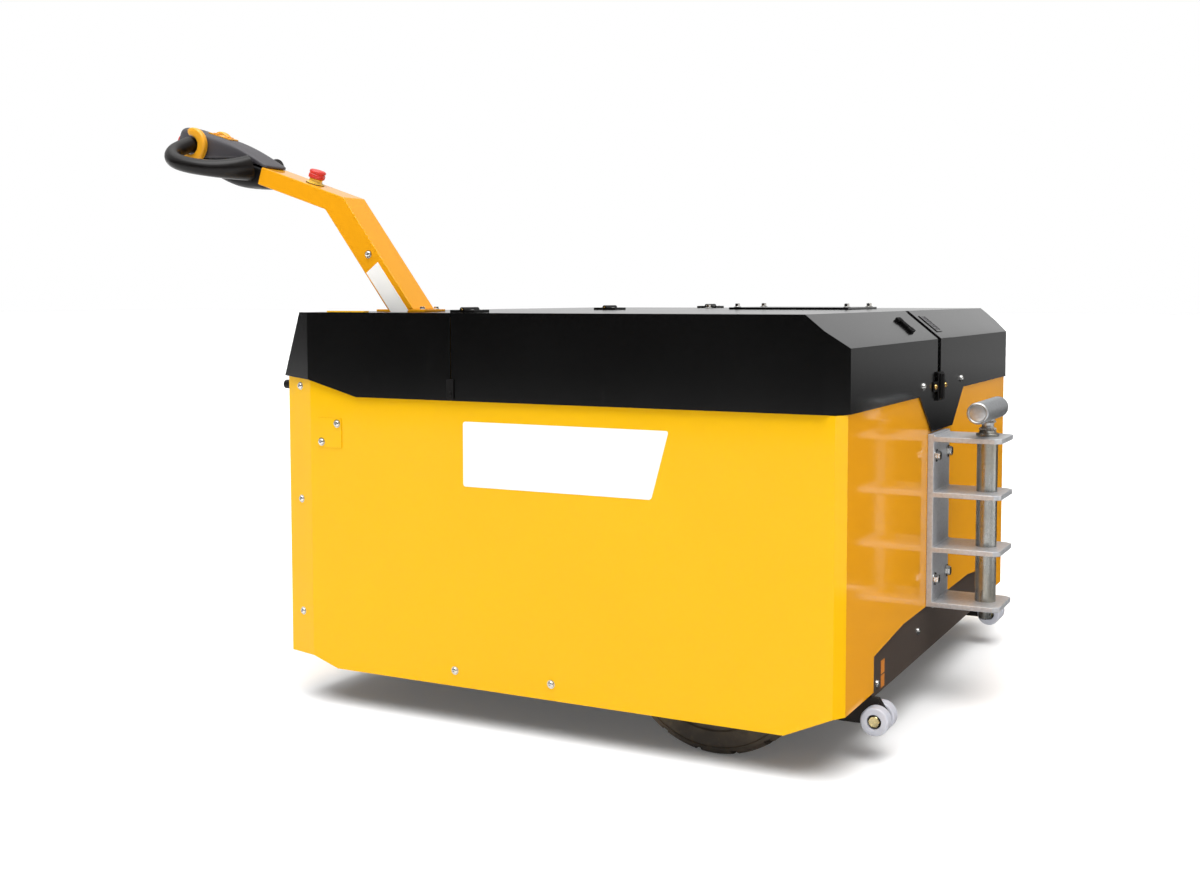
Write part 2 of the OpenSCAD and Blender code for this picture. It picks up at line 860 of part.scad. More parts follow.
module hitch_bracket() {
    low_y = slot_y - hitch_w / 2;
    back = hitch_x + hitch_t;
    color("lightgray") in_frame() difference() {
        union() {
            span([hitch_x, low_y, hitch_low], [back, low_y + hitch_w, hitch_low + hitch_h]);
            for (i = [0 : shelf_count - 1])
                translate([0, 0, shelf_top - shelf_t - i * shelf_pitch]) linear_extrude(shelf_t)
                    polygon([[hitch_x, low_y], [hitch_front - shelf_corner, low_y],
                        [hitch_front, low_y + shelf_corner],
                        [hitch_front, low_y + hitch_w - shelf_corner],
                        [hitch_front - shelf_corner, low_y + hitch_w], [hitch_x, low_y + hitch_w]]);
        }
        translate([pin_x, slot_y, 0]) cylinder(r = pin_r + slack, h = cover_top);
        hitch_bolt_holes();
    }
}

module hitch_bolts() {
    color("silver") in_frame() hitch_bolt_places() {
        bar_x(end_x - end_t, 0, 0, shank_r, hitch_x + hitch_t - end_x + end_t);
        bar_x(hitch_x + hitch_t, 0, 0, big_washer_r, big_washer_t);
        translate([hitch_x + hitch_t + big_washer_t, 0, 0]) rotate([0, 90, 0])
            cylinder(r = big_head_r, h = big_head_h, $fn = 6);
    }
}

module roller_lugs() {
    low = roller_z - lug_r;
    high = nose_foot_z - 2 * sheet_t;
    color([0.08, 0.08, 0.08]) in_frame() both() difference() {
        union() {
            plate_xz([[end_x, wall_low], [roller_x, low], [roller_x + lug_r, roller_z],
                [roller_x + lug_r, roller_z + lug_r / 2], [roller_x, high], [end_x, high]],
                wall_y, wall_t);
            bar_y(roller_x, wall_y, roller_z, lug_r, wall_t);
        }
        bar_y(roller_x, wall_y - cut, roller_z, roller_bolt_r, wall_t + 2 * cut);
    }
}

module roller_bolts() {
    face = wall_t / 2 + 2 * gap + roller_w - recess_deep;
    color("silver") in_frame() both() translate([0, roller_y, 0]) {
        bar_y(roller_x, -face, roller_z, roller_bolt_r, 2 * face);
        for (y = [face, -face - roller_head_h]) translate([roller_x, y + roller_head_h, roller_z])
            rotate([90, 0, 0]) cylinder(r = roller_head_r, h = roller_head_h, $fn = 6);
    }
}

// Roller on the lug's outer face
module roller_outer() {
    y = wall_out + gap;
    color("white") difference() {
        bar_y(roller_x, y, roller_z, roller_r, roller_w);
        bar_y(roller_x, y - cut, roller_z, roller_bolt_r + slack / 2, roller_w + 2 * cut);
        bar_y(roller_x, y + roller_w - recess_deep, roller_z, recess_r, recess_deep + cut);
    }
}

module roller_inner() {
    y = wall_y - gap - roller_w;
    color("white") difference() {
        bar_y(roller_x, y, roller_z, roller_r, roller_w);
        bar_y(roller_x, y - cut, roller_z, roller_bolt_r + slack / 2, roller_w + 2 * cut);
        bar_y(roller_x, y - cut, roller_z, recess_r, recess_deep + cut);
    }
}

module roller_right_outer() { in_frame() mirror([0, 1, 0]) roller_outer(); }
module roller_right_inner() { in_frame() mirror([0, 1, 0]) roller_inner(); }
module roller_left_inner() { in_frame() roller_inner(); }
module roller_left_outer() { in_frame() roller_outer(); }

module gearboxes() {
    color("gray") in_frame() both() difference() {
        bar_y(drive_x, wall_y - gearbox_l, drive_z, gearbox_r, gearbox_l);
        bar_y(drive_x, wall_y - gearbox_l, drive_z, stub_r + slack / 2, gearbox_l + cut);
    }
}

module drive_motors() {
    color("black") in_frame() both()
        bar_y(drive_x, wall_y - gearbox_l - motor_l, drive_z, motor_r, motor_l);
}

module rim() {
    face = tyre_face_y - rim_t / 2;
    color("gray") {
        difference() {
            bar_y(drive_x, tyre_face_y - tyre_w, drive_z, rim_r, tyre_w - rim_t / 2);
            bar_y(drive_x, tyre_face_y - tyre_w - cut, drive_z, rim_r - rim_t, tyre_w + 2 * cut);
        }
        bar_y(drive_x, tyre_face_y - tyre_w / 2 - web_t, drive_z, rim_r - rim_t, web_t);
        bar_y(drive_x, wall_out + rim_t, drive_z, hub_r, face - wall_out - 3 * rim_t);
        bar_y(drive_x, wall_y - gearbox_l + gap, drive_z, stub_r, gearbox_l + wall_t + rim_t);
    }
}

module tyre() {
    half = tyre_w / 2;
    color([0.12, 0.12, 0.12]) translate([drive_x, tyre_face_y - half, drive_z]) rotate([90, 0, 0])
        rotate_extrude($fn = 96) polygon([[rim_r, -half], [tyre_r - tyre_round, -half],
            [tyre_r - tyre_round / 4, -half + tyre_round / 2], [tyre_r, -half + tyre_round],
            [tyre_r, half - tyre_round], [tyre_r - tyre_round / 4, half - tyre_round / 2],
            [tyre_r - tyre_round, half], [rim_r, half]]);
}

module rim_right() { in_frame() mirror([0, 1, 0]) rim(); }
module rim_left() { in_frame() rim(); }
module tyre_right() { in_frame() mirror([0, 1, 0]) tyre(); }
module tyre_left() { in_frame() tyre(); }

module at_castor() { translate([rear_x + castor_ahead, castor_y, 0]) children(); }

module castor_plates() {
    plate_z = floor_z - castor_plate_t;
    color("silver") in_frame() both() at_castor() {
        span([-castor_plate_l / 2, -castor_plate_w / 2, plate_z],
            [castor_plate_l / 2, castor_plate_w / 2, floor_z]);
        translate([0, 0, fork_z]) cylinder(r = race_r, h = race_h);
        translate([0, 0, fork_z - fork_head_t - 2 * gap]) cylinder(r = king_r, h = fork_head_t + race_h);
        translate([0, 0, fork_z - fork_head_t - 2 * gap - king_head_h])
            cylinder(r = king_head_r, h = king_head_h);
    }
}

module castor_fork() {
    out = castor_w / 2 + fork_gap;
    top = fork_z - gap;
    bolt = out + fork_t;
    color("silver") at_castor() {
        difference() {
            span([-trail, -bolt, top - fork_head_t], [race_r, bolt, top]);
            translate([0, 0, top - fork_head_t - cut])
                cylinder(r = king_r + slack / 2, h = fork_head_t + 2 * cut);
        }
        both() plate_xz([[-trail - axle_head_r, castor_r - axle_head_r],
            [-trail + axle_head_r, castor_r - axle_head_r], [race_r, top], [-trail, top]], out, fork_t);
        bar_y(-trail, -bolt, castor_r, axle_r, 2 * bolt);
        both() bar_y(-trail, bolt, castor_r, axle_head_r, axle_head_h);
    }
}

module castor_wheel() {
    half = castor_w / 2;
    color("dimgray") at_castor() difference() {
        union() {
            bar_y(-trail, -half, castor_r, castor_r, castor_w);
            bar_y(-trail, -half - fork_gap + hub_gap, castor_r, 2 * axle_head_r,
                castor_w + 2 * fork_gap - 2 * hub_gap);
        }
        bar_y(-trail, -half - cut, castor_r, axle_r + slack / 2, castor_w + 2 * cut);
    }
}

module castor_fork_right() { in_frame() mirror([0, 1, 0]) castor_fork(); }
module castor_fork_left() { in_frame() castor_fork(); }
module castor_wheel_right() { in_frame() mirror([0, 1, 0]) castor_wheel(); }
module castor_wheel_left() { in_frame() castor_wheel(); }

module batteries() {
    z = floor_z + floor_t;
    top = z + battery_h;
    color("slategray") in_frame() both() for (i = [0, 1])
        translate([battery_x + i * (battery_l + battery_gap), battery_gap / 2, 0]) {
            span([0, 0, z], [battery_l, battery_w, top]);
            for (y = [terminal_in, battery_w - terminal_in])
                translate([battery_l - terminal_in, y, top]) cylinder(r = terminal_r, h = terminal_h);
            span([battery_l / 2 - clamp_w / 2, -battery_gap / 2, top],
                [battery_l / 2 + clamp_w / 2, battery_w + battery_gap, top + clamp_t]);
        }
}

module controller() {
    z = floor_z + floor_t;
    pitch = (controller_l - fin_t) / (fin_count - 1);
    color("silver") in_frame() translate([controller_x, controller_y, z]) {
        cube([controller_l, controller_w, controller_h]);
        for (i = [0 : fin_count - 1])
            translate([i * pitch, 0, controller_h]) cube([fin_t, controller_w, fin_h]);
    }
}

module charger() {
    color("darkslategray") in_frame() {
        translate([charger_x, charger_y, floor_z + floor_t]) cube([charger_l, charger_w, charger_h]);
        difference() {
            union() {
                bar_x(-panel_x, socket_y, socket_z, socket_r, panel_t + bumper_back + bumper_t);
                bar_x(-panel_x - socket_t, socket_y, socket_z, socket_r + socket_t, socket_t);
            }
            bar_x(-panel_x - cut, socket_y, socket_z, socket_r - socket_t, cut + bumper_t);
        }
    }
}

module tiller_bearing() {
    color("gray") in_frame() translate([tiller_x, -tiller_out, bearing_low]) difference() {
        union() {
            cylinder(r = bearing_r, h = foot_t);
            cylinder(r = bearing_r - 2 * foot_t, h = cover_top - sheet_t - bearing_low);
        }
        translate([0, 0, foot_t]) cylinder(r = spindle_r + slack / 2, h = cover_top);
    }
}

module lid() {
    color([0.06, 0.06, 0.06]) in_frame() difference() {
        union() {
            intersection() {
                hood();
                span([split_x + split_gap / 2, -side_y, 0], [front_x, side_y, cover_top]);
            }
            plate_yz([[-tongue_low_w / 2, skirt_z - tongue_h], [tongue_low_w / 2, skirt_z - tongue_h],
                [tongue_top_w / 2, skirt_z], [-tongue_top_w / 2, skirt_z]], front_x - sheet_t, sheet_t);
        }
        slot_cut();
        bar_x(front_x - cut, slot_y, latch_z, latch_bore_r, 2 * cut);
        on_bevel() translate([0, -knob_y, -cut]) cylinder(r = knob_stem_r + slack / 2, h = 2 * cut);
        clip_notch(clip_rivet_r + slack);
    }
}

module latch_base() {
    color([0.12, 0.12, 0.12]) in_frame() difference() {
        union() {
            span([front_x, slot_y - latch_w / 2, latch_z - latch_h / 2],
                [front_x + latch_t, slot_y + latch_w / 2, latch_z + latch_h / 2]);
            span([front_x, slot_y - lug_w / 2, latch_z - lug_h / 2],
                [front_x + sheet_t, slot_y + lug_w / 2, latch_z + lug_h / 2]);
        }
        bar_x(front_x - cut, slot_y, latch_z, latch_bore_r, 2 * cut);
    }
}

module latch_handle() {
    face = front_x + latch_t + gap;
    stem = cam_t + cut;
    color([0.12, 0.12, 0.12]) in_frame() {
        span([face, slot_y - paddle_w / 2, latch_z - paddle_h / 2],
            [face + paddle_t / 2, slot_y + paddle_w / 2, latch_z + paddle_h / 2]);
        span([face, slot_y - paddle_w / 4, latch_z - paddle_h / 2],
            [face + paddle_t, slot_y + paddle_w / 4, latch_z + paddle_h / 2]);
        bar_x(face - stem, slot_y, latch_z, latch_bore_r - slack / 2, stem);
    }
}

module latch_cam() {
    back = front_x + latch_t + gap - cut - 2 * cam_t;
    color("silver") in_frame() span([back, slot_y - cam_w / 2, latch_z - cam_l],
        [back + cam_t, slot_y + cam_w / 2, latch_z + cam_w / 2]);
}

module lid_bolts() {
    face = front_x + sheet_t;
    color("goldenrod") in_frame() {
        for (y = [-lug_bolt_y, lug_bolt_y]) translate([face, slot_y + y, latch_z])
            rotate([0, 90, 0]) cylinder(r = head_r - washer_t, h = head_h);
        both() translate([front_x, lid_bolt_y, lid_bolt_z]) rotate([0, 90, 0]) dome_bolt();
        for (x = [plate_bolt_in, plate_l - plate_bolt_in], y = [plate_bolt_back, plate_w - plate_bolt_back])
            translate([plate_x + x, plate_y + y, cover_top + plate_t]) dome_bolt();
        translate([split_x + lone_bolt_x, lone_bolt_y - leaf_w, cover_top]) dome_bolt();
    }
}

// Indicator on the slope, strip beside the slot and the sheet behind the slot
module lid_trims() {
    side = slot_y + slot_w / 2;
    low = latch_z + latch_h / 2 + gap;
    color([0.12, 0.12, 0.12]) in_frame() {
        on_bevel() translate([0, indicator_y, trim_t]) difference() {
            span([-indicator_l / 2, -indicator_w / 2, 0], [indicator_l / 2, indicator_w / 2, indicator_t]);
            span([-indicator_l / 2 + indicator_rim, -indicator_w / 2 + indicator_rim, indicator_t / 2],
                [indicator_l / 2 - indicator_rim, indicator_w / 2 - indicator_rim, indicator_t + cut]);
        }
        front_band(-trim_t, 0, side, side + trim_w, low);
        front_band(sheet_t, sheet_t + backing_t, slot_y - backing_w / 2, slot_y + backing_w / 2, low);
    }
}

// Turn switch on the back, with its spindle through the rear panel
module rear_switch() {
    color([0.1, 0.1, 0.1]) in_frame() {
        bar_x(-panel_x - switch_l, -switch_y, switch_z, switch_r, switch_l - gap);
        bar_x(-panel_x - switch_l, -switch_y, switch_z, switch_stem_r, switch_l + panel_t + switch_r);
    }
}

module access_plate() {
    color([0.1, 0.1, 0.1]) in_frame()
        span([plate_x, plate_y, cover_top], [plate_x + plate_l, plate_y + plate_w, cover_top + plate_t]);
}

module turn_knob() {
    color([0.1, 0.1, 0.1]) in_frame() on_bevel() translate([0, -knob_y, gap]) {
        span([-knob_l / 2, -knob_waist / 2, 0], [knob_l / 2, knob_waist / 2, knob_t]);
        for (x = [-knob_l / 2, knob_l / 2 - knob_bar])
            translate([x, -knob_w / 2, 0]) cube([knob_bar, knob_w, knob_t]);
        translate([0, 0, -sheet_t - 2 * knob_stem_r]) cylinder(r = knob_stem_r, h = sheet_t + 2 * knob_stem_r);
    }
}

module hitch_pin() {
    color("silver") in_frame() translate([pin_x, slot_y, 0]) {
        translate([0, 0, pin_low]) cylinder(r = pin_r, h = shelf_top - pin_low);
        translate([0, 0, shelf_top]) cylinder(r = collar_r, h = collar_h);
    }
}

module pin_handle() {
    neck_z = shelf_top + collar_h;
    half = tee_l / 2;
    color("silver") in_frame() translate([pin_x, slot_y, 0]) {
        translate([0, 0, neck_z]) cylinder(r = neck_r, h = tee_z - neck_z);
        bar_y(0, -half + tee_chamfer, tee_z, tee_r, tee_l - 2 * tee_chamfer);
        bar_y(0, -half, tee_z, tee_r - tee_chamfer, tee_l);
    }
}

function arm_outline() = [foot_rear, foot_front, elbow_out, arm_end_top, arm_end_low, elbow_in];

module tiller_foot() {
    low = cover_top + gap;
    color("gold") in_frame() translate([tiller_x, -tiller_out, 0]) {
        span([-foot_l / 2, -arm_w / 2, low], [foot_l / 2, arm_w / 2, foot_z]);
        translate([0, 0, bearing_low + foot_t + gap])
            cylinder(r = spindle_r, h = low - bearing_low - foot_t);
    }
}

module tiller_arm() {
    color("gold") in_frame() difference() {
        plate_xz(arm_outline(), -tiller_out - arm_w / 2, arm_w);
        plate_xz(shrink(arm_outline(), arm_wall), -tiller_out - arm_w / 2 + arm_wall,
            arm_w - 2 * arm_wall);
    }
}

module tiller_bolts() {
    color("silver") in_frame() {
        for (y = [-foot_bolt_y, foot_bolt_y])
            translate([tiller_x + foot_bolt_fwd, -tiller_out + y, foot_z]) hex_bolt(head_r - washer_t);
        translate([tiller_x - arm_side_bolt_x, -tiller_out - arm_w / 2, foot_z + arm_side_bolt_z - foot_t])
            rotate([90, 0, 0]) dome_bolt();
    }
}

// Places things in the head's frame: x from the nose towards the arm, z square to the arm
module on_arm() {
    translate([arm_end[0], -tiller_out, arm_end[1]]) rotate([0, upper_slope, 0]) children();
}

module stop_collar() {
    color("yellow") in_frame() on_arm() translate([stop_x, 0, arm_half]) difference() {
        union() {
            cylinder(r = stop_disc_r, h = stop_disc_t);
            cylinder(r = stop_collar_r, h = stop_collar_h);
        }
        cylinder(r = stop_stem_r + slack / 2, h = stop_collar_h + cut);
    }
}

module stop_button() {
    base = stop_collar_h + stop_travel + gap;
    color("red") in_frame() on_arm() translate([stop_x, 0, arm_half]) {
        translate([0, 0, stop_travel + gap]) cylinder(r = stop_stem_r, h = base);
        translate([0, 0, base]) cylinder(r = stop_r - sheet_t / 2, h = stop_cap_h);
        translate([0, 0, base]) cylinder(r = stop_r, h = stop_cap_h / 3);
        translate([0, 0, base + stop_cap_h / 2]) cylinder(r = stop_r, h = stop_cap_h / 3);
    }
}

function head_points(shares) = [for (s = shares) [-head_l * s[0], head_top * s[1]]];
function reversed(list) = [for (i = [len(list) - 1 : -1 : 0]) list[i]];

// The head seen from above: straight beside the arm, drawn in at the nose
module head_plan() {
    round_x = head_l / 5;
    translate([0, 0, -2 * head_top]) linear_extrude(4 * head_top)
        polygon([[-head_l, -head_nose_half], [-head_l + round_x, -head_half], [2 * lip, -head_half],
            [2 * lip, head_half], [-head_l + round_x, head_half], [-head_l, head_nose_half]]);
}

module hub_bore() { bar_y(-hub_x, -hub_half, hub_z, grip_r + slack, 2 * hub_half); }

module head_upper() {
    top = arm_half + slack;
    color([0.25, 0.25, 0.27]) in_frame() on_arm() difference() {
        intersection() {
            plate_xz(concat([[-head_l, head_top * nose_low_share]],
                reversed(head_points(split_shares)), [[-gap, top], [lip, top], [lip, top + lip / 2]],
                reversed(head_points(upper_shares))), -arm_w, 2 * arm_w);
            head_plan();
        }
        hub_bore();
        grip_loops(grip_r + slack);
        translate([-head_l, 0, belly_z]) rotate([0, 90, 0])
            translate([0, 0, -cut]) cylinder(r = belly_stem_r + slack / 2, h = 2 * cut);
        on_rocker() span([-rocker_l / 2 - 2 * gap, -rocker_w / 2 - gap, -rocker_t - 2 * gap],
            [rocker_l / 2 + 2 * gap, rocker_w / 2 + gap, cut]);
    }
}

module head_lower() {
    top = arm_half + slack;
    color([0.08, 0.08, 0.08]) in_frame() on_arm() difference() {
        intersection() {
            plate_xz(concat(head_points(lower_shares), [[lip, -top - lip / 2], [lip, -top], [-gap, -top],
                [-gap, top - gap]], [for (p = head_points(split_shares)) p - [0, gap]]), -arm_w, 2 * arm_w);
            head_plan();
        }
        hub_bore();
        grip_loops(grip_r + slack);
    }
}

// Loop of one grip, from the hub's end round to the lower shell
module grip_loop(r) {
    translate([-hub_x, hub_half, hub_z]) rotate([-droop, 0, 0]) {
        leg = corner_y - hub_half;
        bar_y(0, 0, 0, r, leg);
        for (y = [0, leg]) translate([0, y, 0]) rotate([90, 0, 0]) sphere(r + gap);
        translate([corner_r, leg + corner_r, 0]) rotate([0, 90, 0]) sphere(r + gap);
        translate([corner_r, leg, 0]) {
            rotate([0, 0, 90]) rotate_extrude(angle = 90) translate([corner_r, 0]) circle(r);
            translate([0, corner_r - sweep_r, 0]) rotate([0, 0, 90 - sweep_deg])
                rotate_extrude(angle = sweep_deg) translate([sweep_r, 0]) circle(r);
        }
    }
}

module grip_loops(r) { both() grip_loop(r); }

module grips() {
    color([0.08, 0.08, 0.08]) in_frame() on_arm() {
        bar_y(-hub_x, -hub_half - gap, hub_z, grip_r, 2 * hub_half + 2 * gap);
        grip_loops(grip_r);
    }
}

module throttle() {
    inner = head_half + gap;
    color("orange") in_frame() on_arm() both() difference() {
        bar_y(-hub_x, inner, hub_z, wing_r, wing_w);
        bar_y(-hub_x, inner - cut, hub_z, grip_r + slack / 2, wing_w + 2 * cut);
        translate([-hub_x, inner - cut, hub_z]) rotate([0, -90, 0]) rotate([-90, 0, 0])
            linear_extrude(wing_w + 2 * cut) difference() {
                polygon([[0, 0], wing_r * 2 * [cos(wing_open / 2), sin(wing_open / 2)],
                    [2 * wing_r, 0], wing_r * 2 * [cos(wing_open / 2), -sin(wing_open / 2)]]);
                circle(wing_in);
            }
    }
}

module belly_button() {
    color("red") in_frame() on_arm() translate([-head_l - belly_t, 0, belly_z]) rotate([0, 90, 0]) {
        cylinder(r = belly_r, h = belly_t - belly_travel - gap);
        cylinder(r = belly_stem_r, h = belly_t + cut - belly_travel - gap);
    }
}

// Places the rocker on the head's upper face
module on_rocker() {
    a = upper_shares[3];
    b = upper_shares[4];
    tilt = atan(head_top * (b[1] - a[1]) / (head_l * (a[0] - b[0])));
    translate([-rocker_x, 0, head_top * (a[1] + b[1]) / 2]) rotate([0, -tilt, 0]) children();
}

module rocker() {
    color("orange") in_frame() on_arm() on_rocker() {
        span([-rocker_l / 2, -rocker_w / 2, -rocker_t / 2], [rocker_l / 2, rocker_w / 2, rocker_t / 3]);
        bar_y(0, -rocker_w / 2, -rocker_t / 2, rocker_r / 2, rocker_w);
    }
}

chassis();
side_panel_right();
side_panel_left();
front_panels();
rear_panel();
bumper_plate();
body_bolts();
label_plates();
service_plates();
rear_cover();
cover_seal();
hinge_fixed_leaves();
hinge_pins();
side_clips();
hitch_bracket();
hitch_bolts();
roller_lugs();
roller_bolts();
gearboxes();
drive_motors();
castor_plates();
batteries();
controller();
charger();
tiller_bearing();
lid();
hinge_moving_leaves();
latch_base();
lid_bolts();
lid_trims();
rear_switch();
access_plate();
latch_handle();
latch_cam();
turn_knob();
hitch_pin();
pin_handle();
roller_right_outer();
roller_right_inner();
roller_left_inner();
roller_left_outer();
rim_right();
tyre_right();
rim_left();
tyre_left();
castor_fork_right();
castor_wheel_right();
castor_fork_left();
castor_wheel_left();
tiller_foot();
tiller_arm();
tiller_bolts();
stop_collar();
stop_button();
head_upper();
head_lower();
grips();
throttle();
belly_button();
rocker();
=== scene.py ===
"""Looks of a walk-behind electric tug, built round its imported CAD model.

Lengths in the classes are millimetres and angles are degrees. X runs to the hitch and starts at
the middle of the body, Y starts at the body's middle line and Z at the ground. Each mesh is
turned into metres of the shared frame when it is finished.
"""

import json
import logging
import math
from dataclasses import dataclass, field, replace
from enum import Enum
from functools import cached_property
from typing import Callable, Iterable, Sequence

import bmesh
import bpy
from mathutils import Matrix, Vector


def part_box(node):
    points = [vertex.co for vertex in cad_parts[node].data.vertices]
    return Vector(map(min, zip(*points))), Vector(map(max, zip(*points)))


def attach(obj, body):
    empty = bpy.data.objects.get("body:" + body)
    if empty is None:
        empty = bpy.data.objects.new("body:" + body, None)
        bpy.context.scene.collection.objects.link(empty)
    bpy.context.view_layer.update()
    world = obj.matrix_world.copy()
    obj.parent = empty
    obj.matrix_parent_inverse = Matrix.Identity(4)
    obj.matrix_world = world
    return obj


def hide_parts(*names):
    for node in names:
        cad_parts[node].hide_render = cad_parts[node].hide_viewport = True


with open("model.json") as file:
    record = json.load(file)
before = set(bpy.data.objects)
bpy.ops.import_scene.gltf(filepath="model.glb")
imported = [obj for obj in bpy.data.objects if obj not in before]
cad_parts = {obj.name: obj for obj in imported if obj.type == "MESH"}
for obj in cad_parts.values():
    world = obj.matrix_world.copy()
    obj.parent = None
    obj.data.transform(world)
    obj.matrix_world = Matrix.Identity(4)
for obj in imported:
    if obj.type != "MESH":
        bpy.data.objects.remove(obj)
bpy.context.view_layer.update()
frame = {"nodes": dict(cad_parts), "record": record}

LOG = logging.getLogger("tug")
MM = 0.001
PANEL_X = 575.5
BODY_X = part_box("hitch_bracket")[0].x / MM - PANEL_X
BODY_OF = {node: body for body, nodes in frame["record"]["behaviour"]["bodies"].items() for node in nodes}
TO_FRAME = Matrix.Scale(MM, 4) @ Matrix.Translation((BODY_X, 0, 0))
WHITE = (1.0, 1.0, 1.0)
Object = bpy.types.Object
Point = Sequence[float]
Line = Sequence[Point]
Colour = tuple[float, float, float]

# Radius and height of turned profiles. Those of a hex head are factors on its radius and height.
DOME_BOLT = ((0, 0), (7.9, 0), (8, 0.4), (7.8, 1.1), (7.2, 1.2), (6.5, 1.2), (6.5, 2.1), (6.1, 3.3),
             (5.0, 4.3), (3.6, 4.9), (2.7, 5.1), (2.4, 4.9), (2.3, 2.9), (0, 2.7))
HEX_CORE = ((0, 0), (1, 0), (1, 0.82), (0.8961, 0.95), (0, 0.95))
HEX_TOP = ((0, 0.6), (0.8526, 0.6), (0.8526, 0.985), (0.783, 1), (0, 1))


class Axis(Enum):
    """Direction that a turned shape or a bolt runs along."""

    X = Vector((1, 0, 0))
    Y = Vector((0, 1, 0))
    Z = Vector((0, 0, 1))


class Side(Enum):
    """The two sides of the machine, seen from the handle."""

    RIGHT = -1
    LEFT = 1

    @property
    def word(self) -> str:
        """The side's name in node names."""
        return self.name.lower()


def shade(*levels: int) -> Colour:
    """Turns red, green and blue as written on a screen, from 0 to 255, into linear light."""
    steps = (level / 255 for level in levels)
    return tuple(s / 12.92 if s <= 0.04045 else ((s + 0.055) / 1.055) ** 2.4 for s in steps)


def spin(angle: float, axis: str) -> Matrix:
    """Turns things round the named axis."""
    return Matrix.Rotation(math.radians(angle), 4, axis)


def leaning(way: Vector) -> Matrix:
    """Turns the z axis to point a way."""
    return Axis.Z.value.rotation_difference(way).to_matrix().to_4x4()


def facing(axis: Axis, at: Point = (0, 0, 0), sign: int = 1) -> Matrix:
    """Stands things at a point, along the axis or, with sign -1, against it."""
    return Matrix.Translation(at) @ leaning(axis.value * sign)


def twice(half: Line, width: float) -> list[Point]:
    """Adds a profile's mirror image, which ends at a width."""
    return [*half, *((radius, width - height) for radius, height in reversed(half))]


def polar(radius: float, angles: Iterable[float]) -> list[Point]:
    """Points of a circle, at angles in radians."""
    return [(radius * math.cos(angle), radius * math.sin(angle)) for angle in angles]


def corners(geom: Iterable) -> list[bmesh.types.BMVert]:
    """The vertices among some elements of a mesh."""
    return [g for g in geom if isinstance(g, bmesh.types.BMVert)]


def along(points: Line, x: float) -> float:
    """Height of a line through points at x.

    Args:
        points: Places and heights, in rising order.
        x: Where to read it.

    Returns:
        The height, the end's own beyond the ends.
    """
    for (x0, y0), (x1, y1) in zip(points, points[1:]):
        if x <= x1:
            return y0 + (y1 - y0) * max(0.0, (x - x0) / (x1 - x0))
    return points[-1][1]


def power(value: float, shape: float) -> float:
    """Power of a value that keeps its sign."""
    return math.copysign(abs(value) ** shape, value)


def added(name: str, data: bpy.types.ID) -> Object:
    """Puts a new object into the scene.

    Args:
        name: Its name.
        data: Its mesh, lamp or camera.

    Returns:
        The object.
    """
    made = bpy.data.objects.new(name, data)
    bpy.context.scene.collection.objects.link(made)
    return made


class Wire:
    """One output of a shader node, with arithmetic that adds Math nodes."""

    def __init__(self, graph: "Graph", socket: bpy.types.NodeSocket) -> None:
        """Keeps the socket and the graph that it belongs to."""
        self.graph, self.socket = graph, socket

    def _math(self, operation: str, *values: "Wire | float") -> "Wire":
        """Adds a Math node on these values."""
        return self.graph.node("Math", dict(enumerate(values)), operation=operation)

    def __add__(self, other: "Wire | float") -> "Wire":
        """Sum."""
        return self._math("ADD", self, other)

    def __mul__(self, other: "Wire | float") -> "Wire":
        """Product."""
        return self._math("MULTIPLY", self, other)

    def __sub__(self, other: "Wire | float") -> "Wire":
        """Difference."""
        return self._math("SUBTRACT", self, other)

    def __rsub__(self, other: float) -> "Wire":
        """Difference from a number."""
        return self._math("SUBTRACT", other, self)

    __radd__ = __add__
    __rmul__ = __mul__

    def between(self, low: float, high: float) -> "Wire":
        """Runs from 0 at low to 1 at high, and stays there."""
        return self.graph.node("MapRange", {0: self, 1: low, 2: high, 3: 0.0, 4: 1.0})


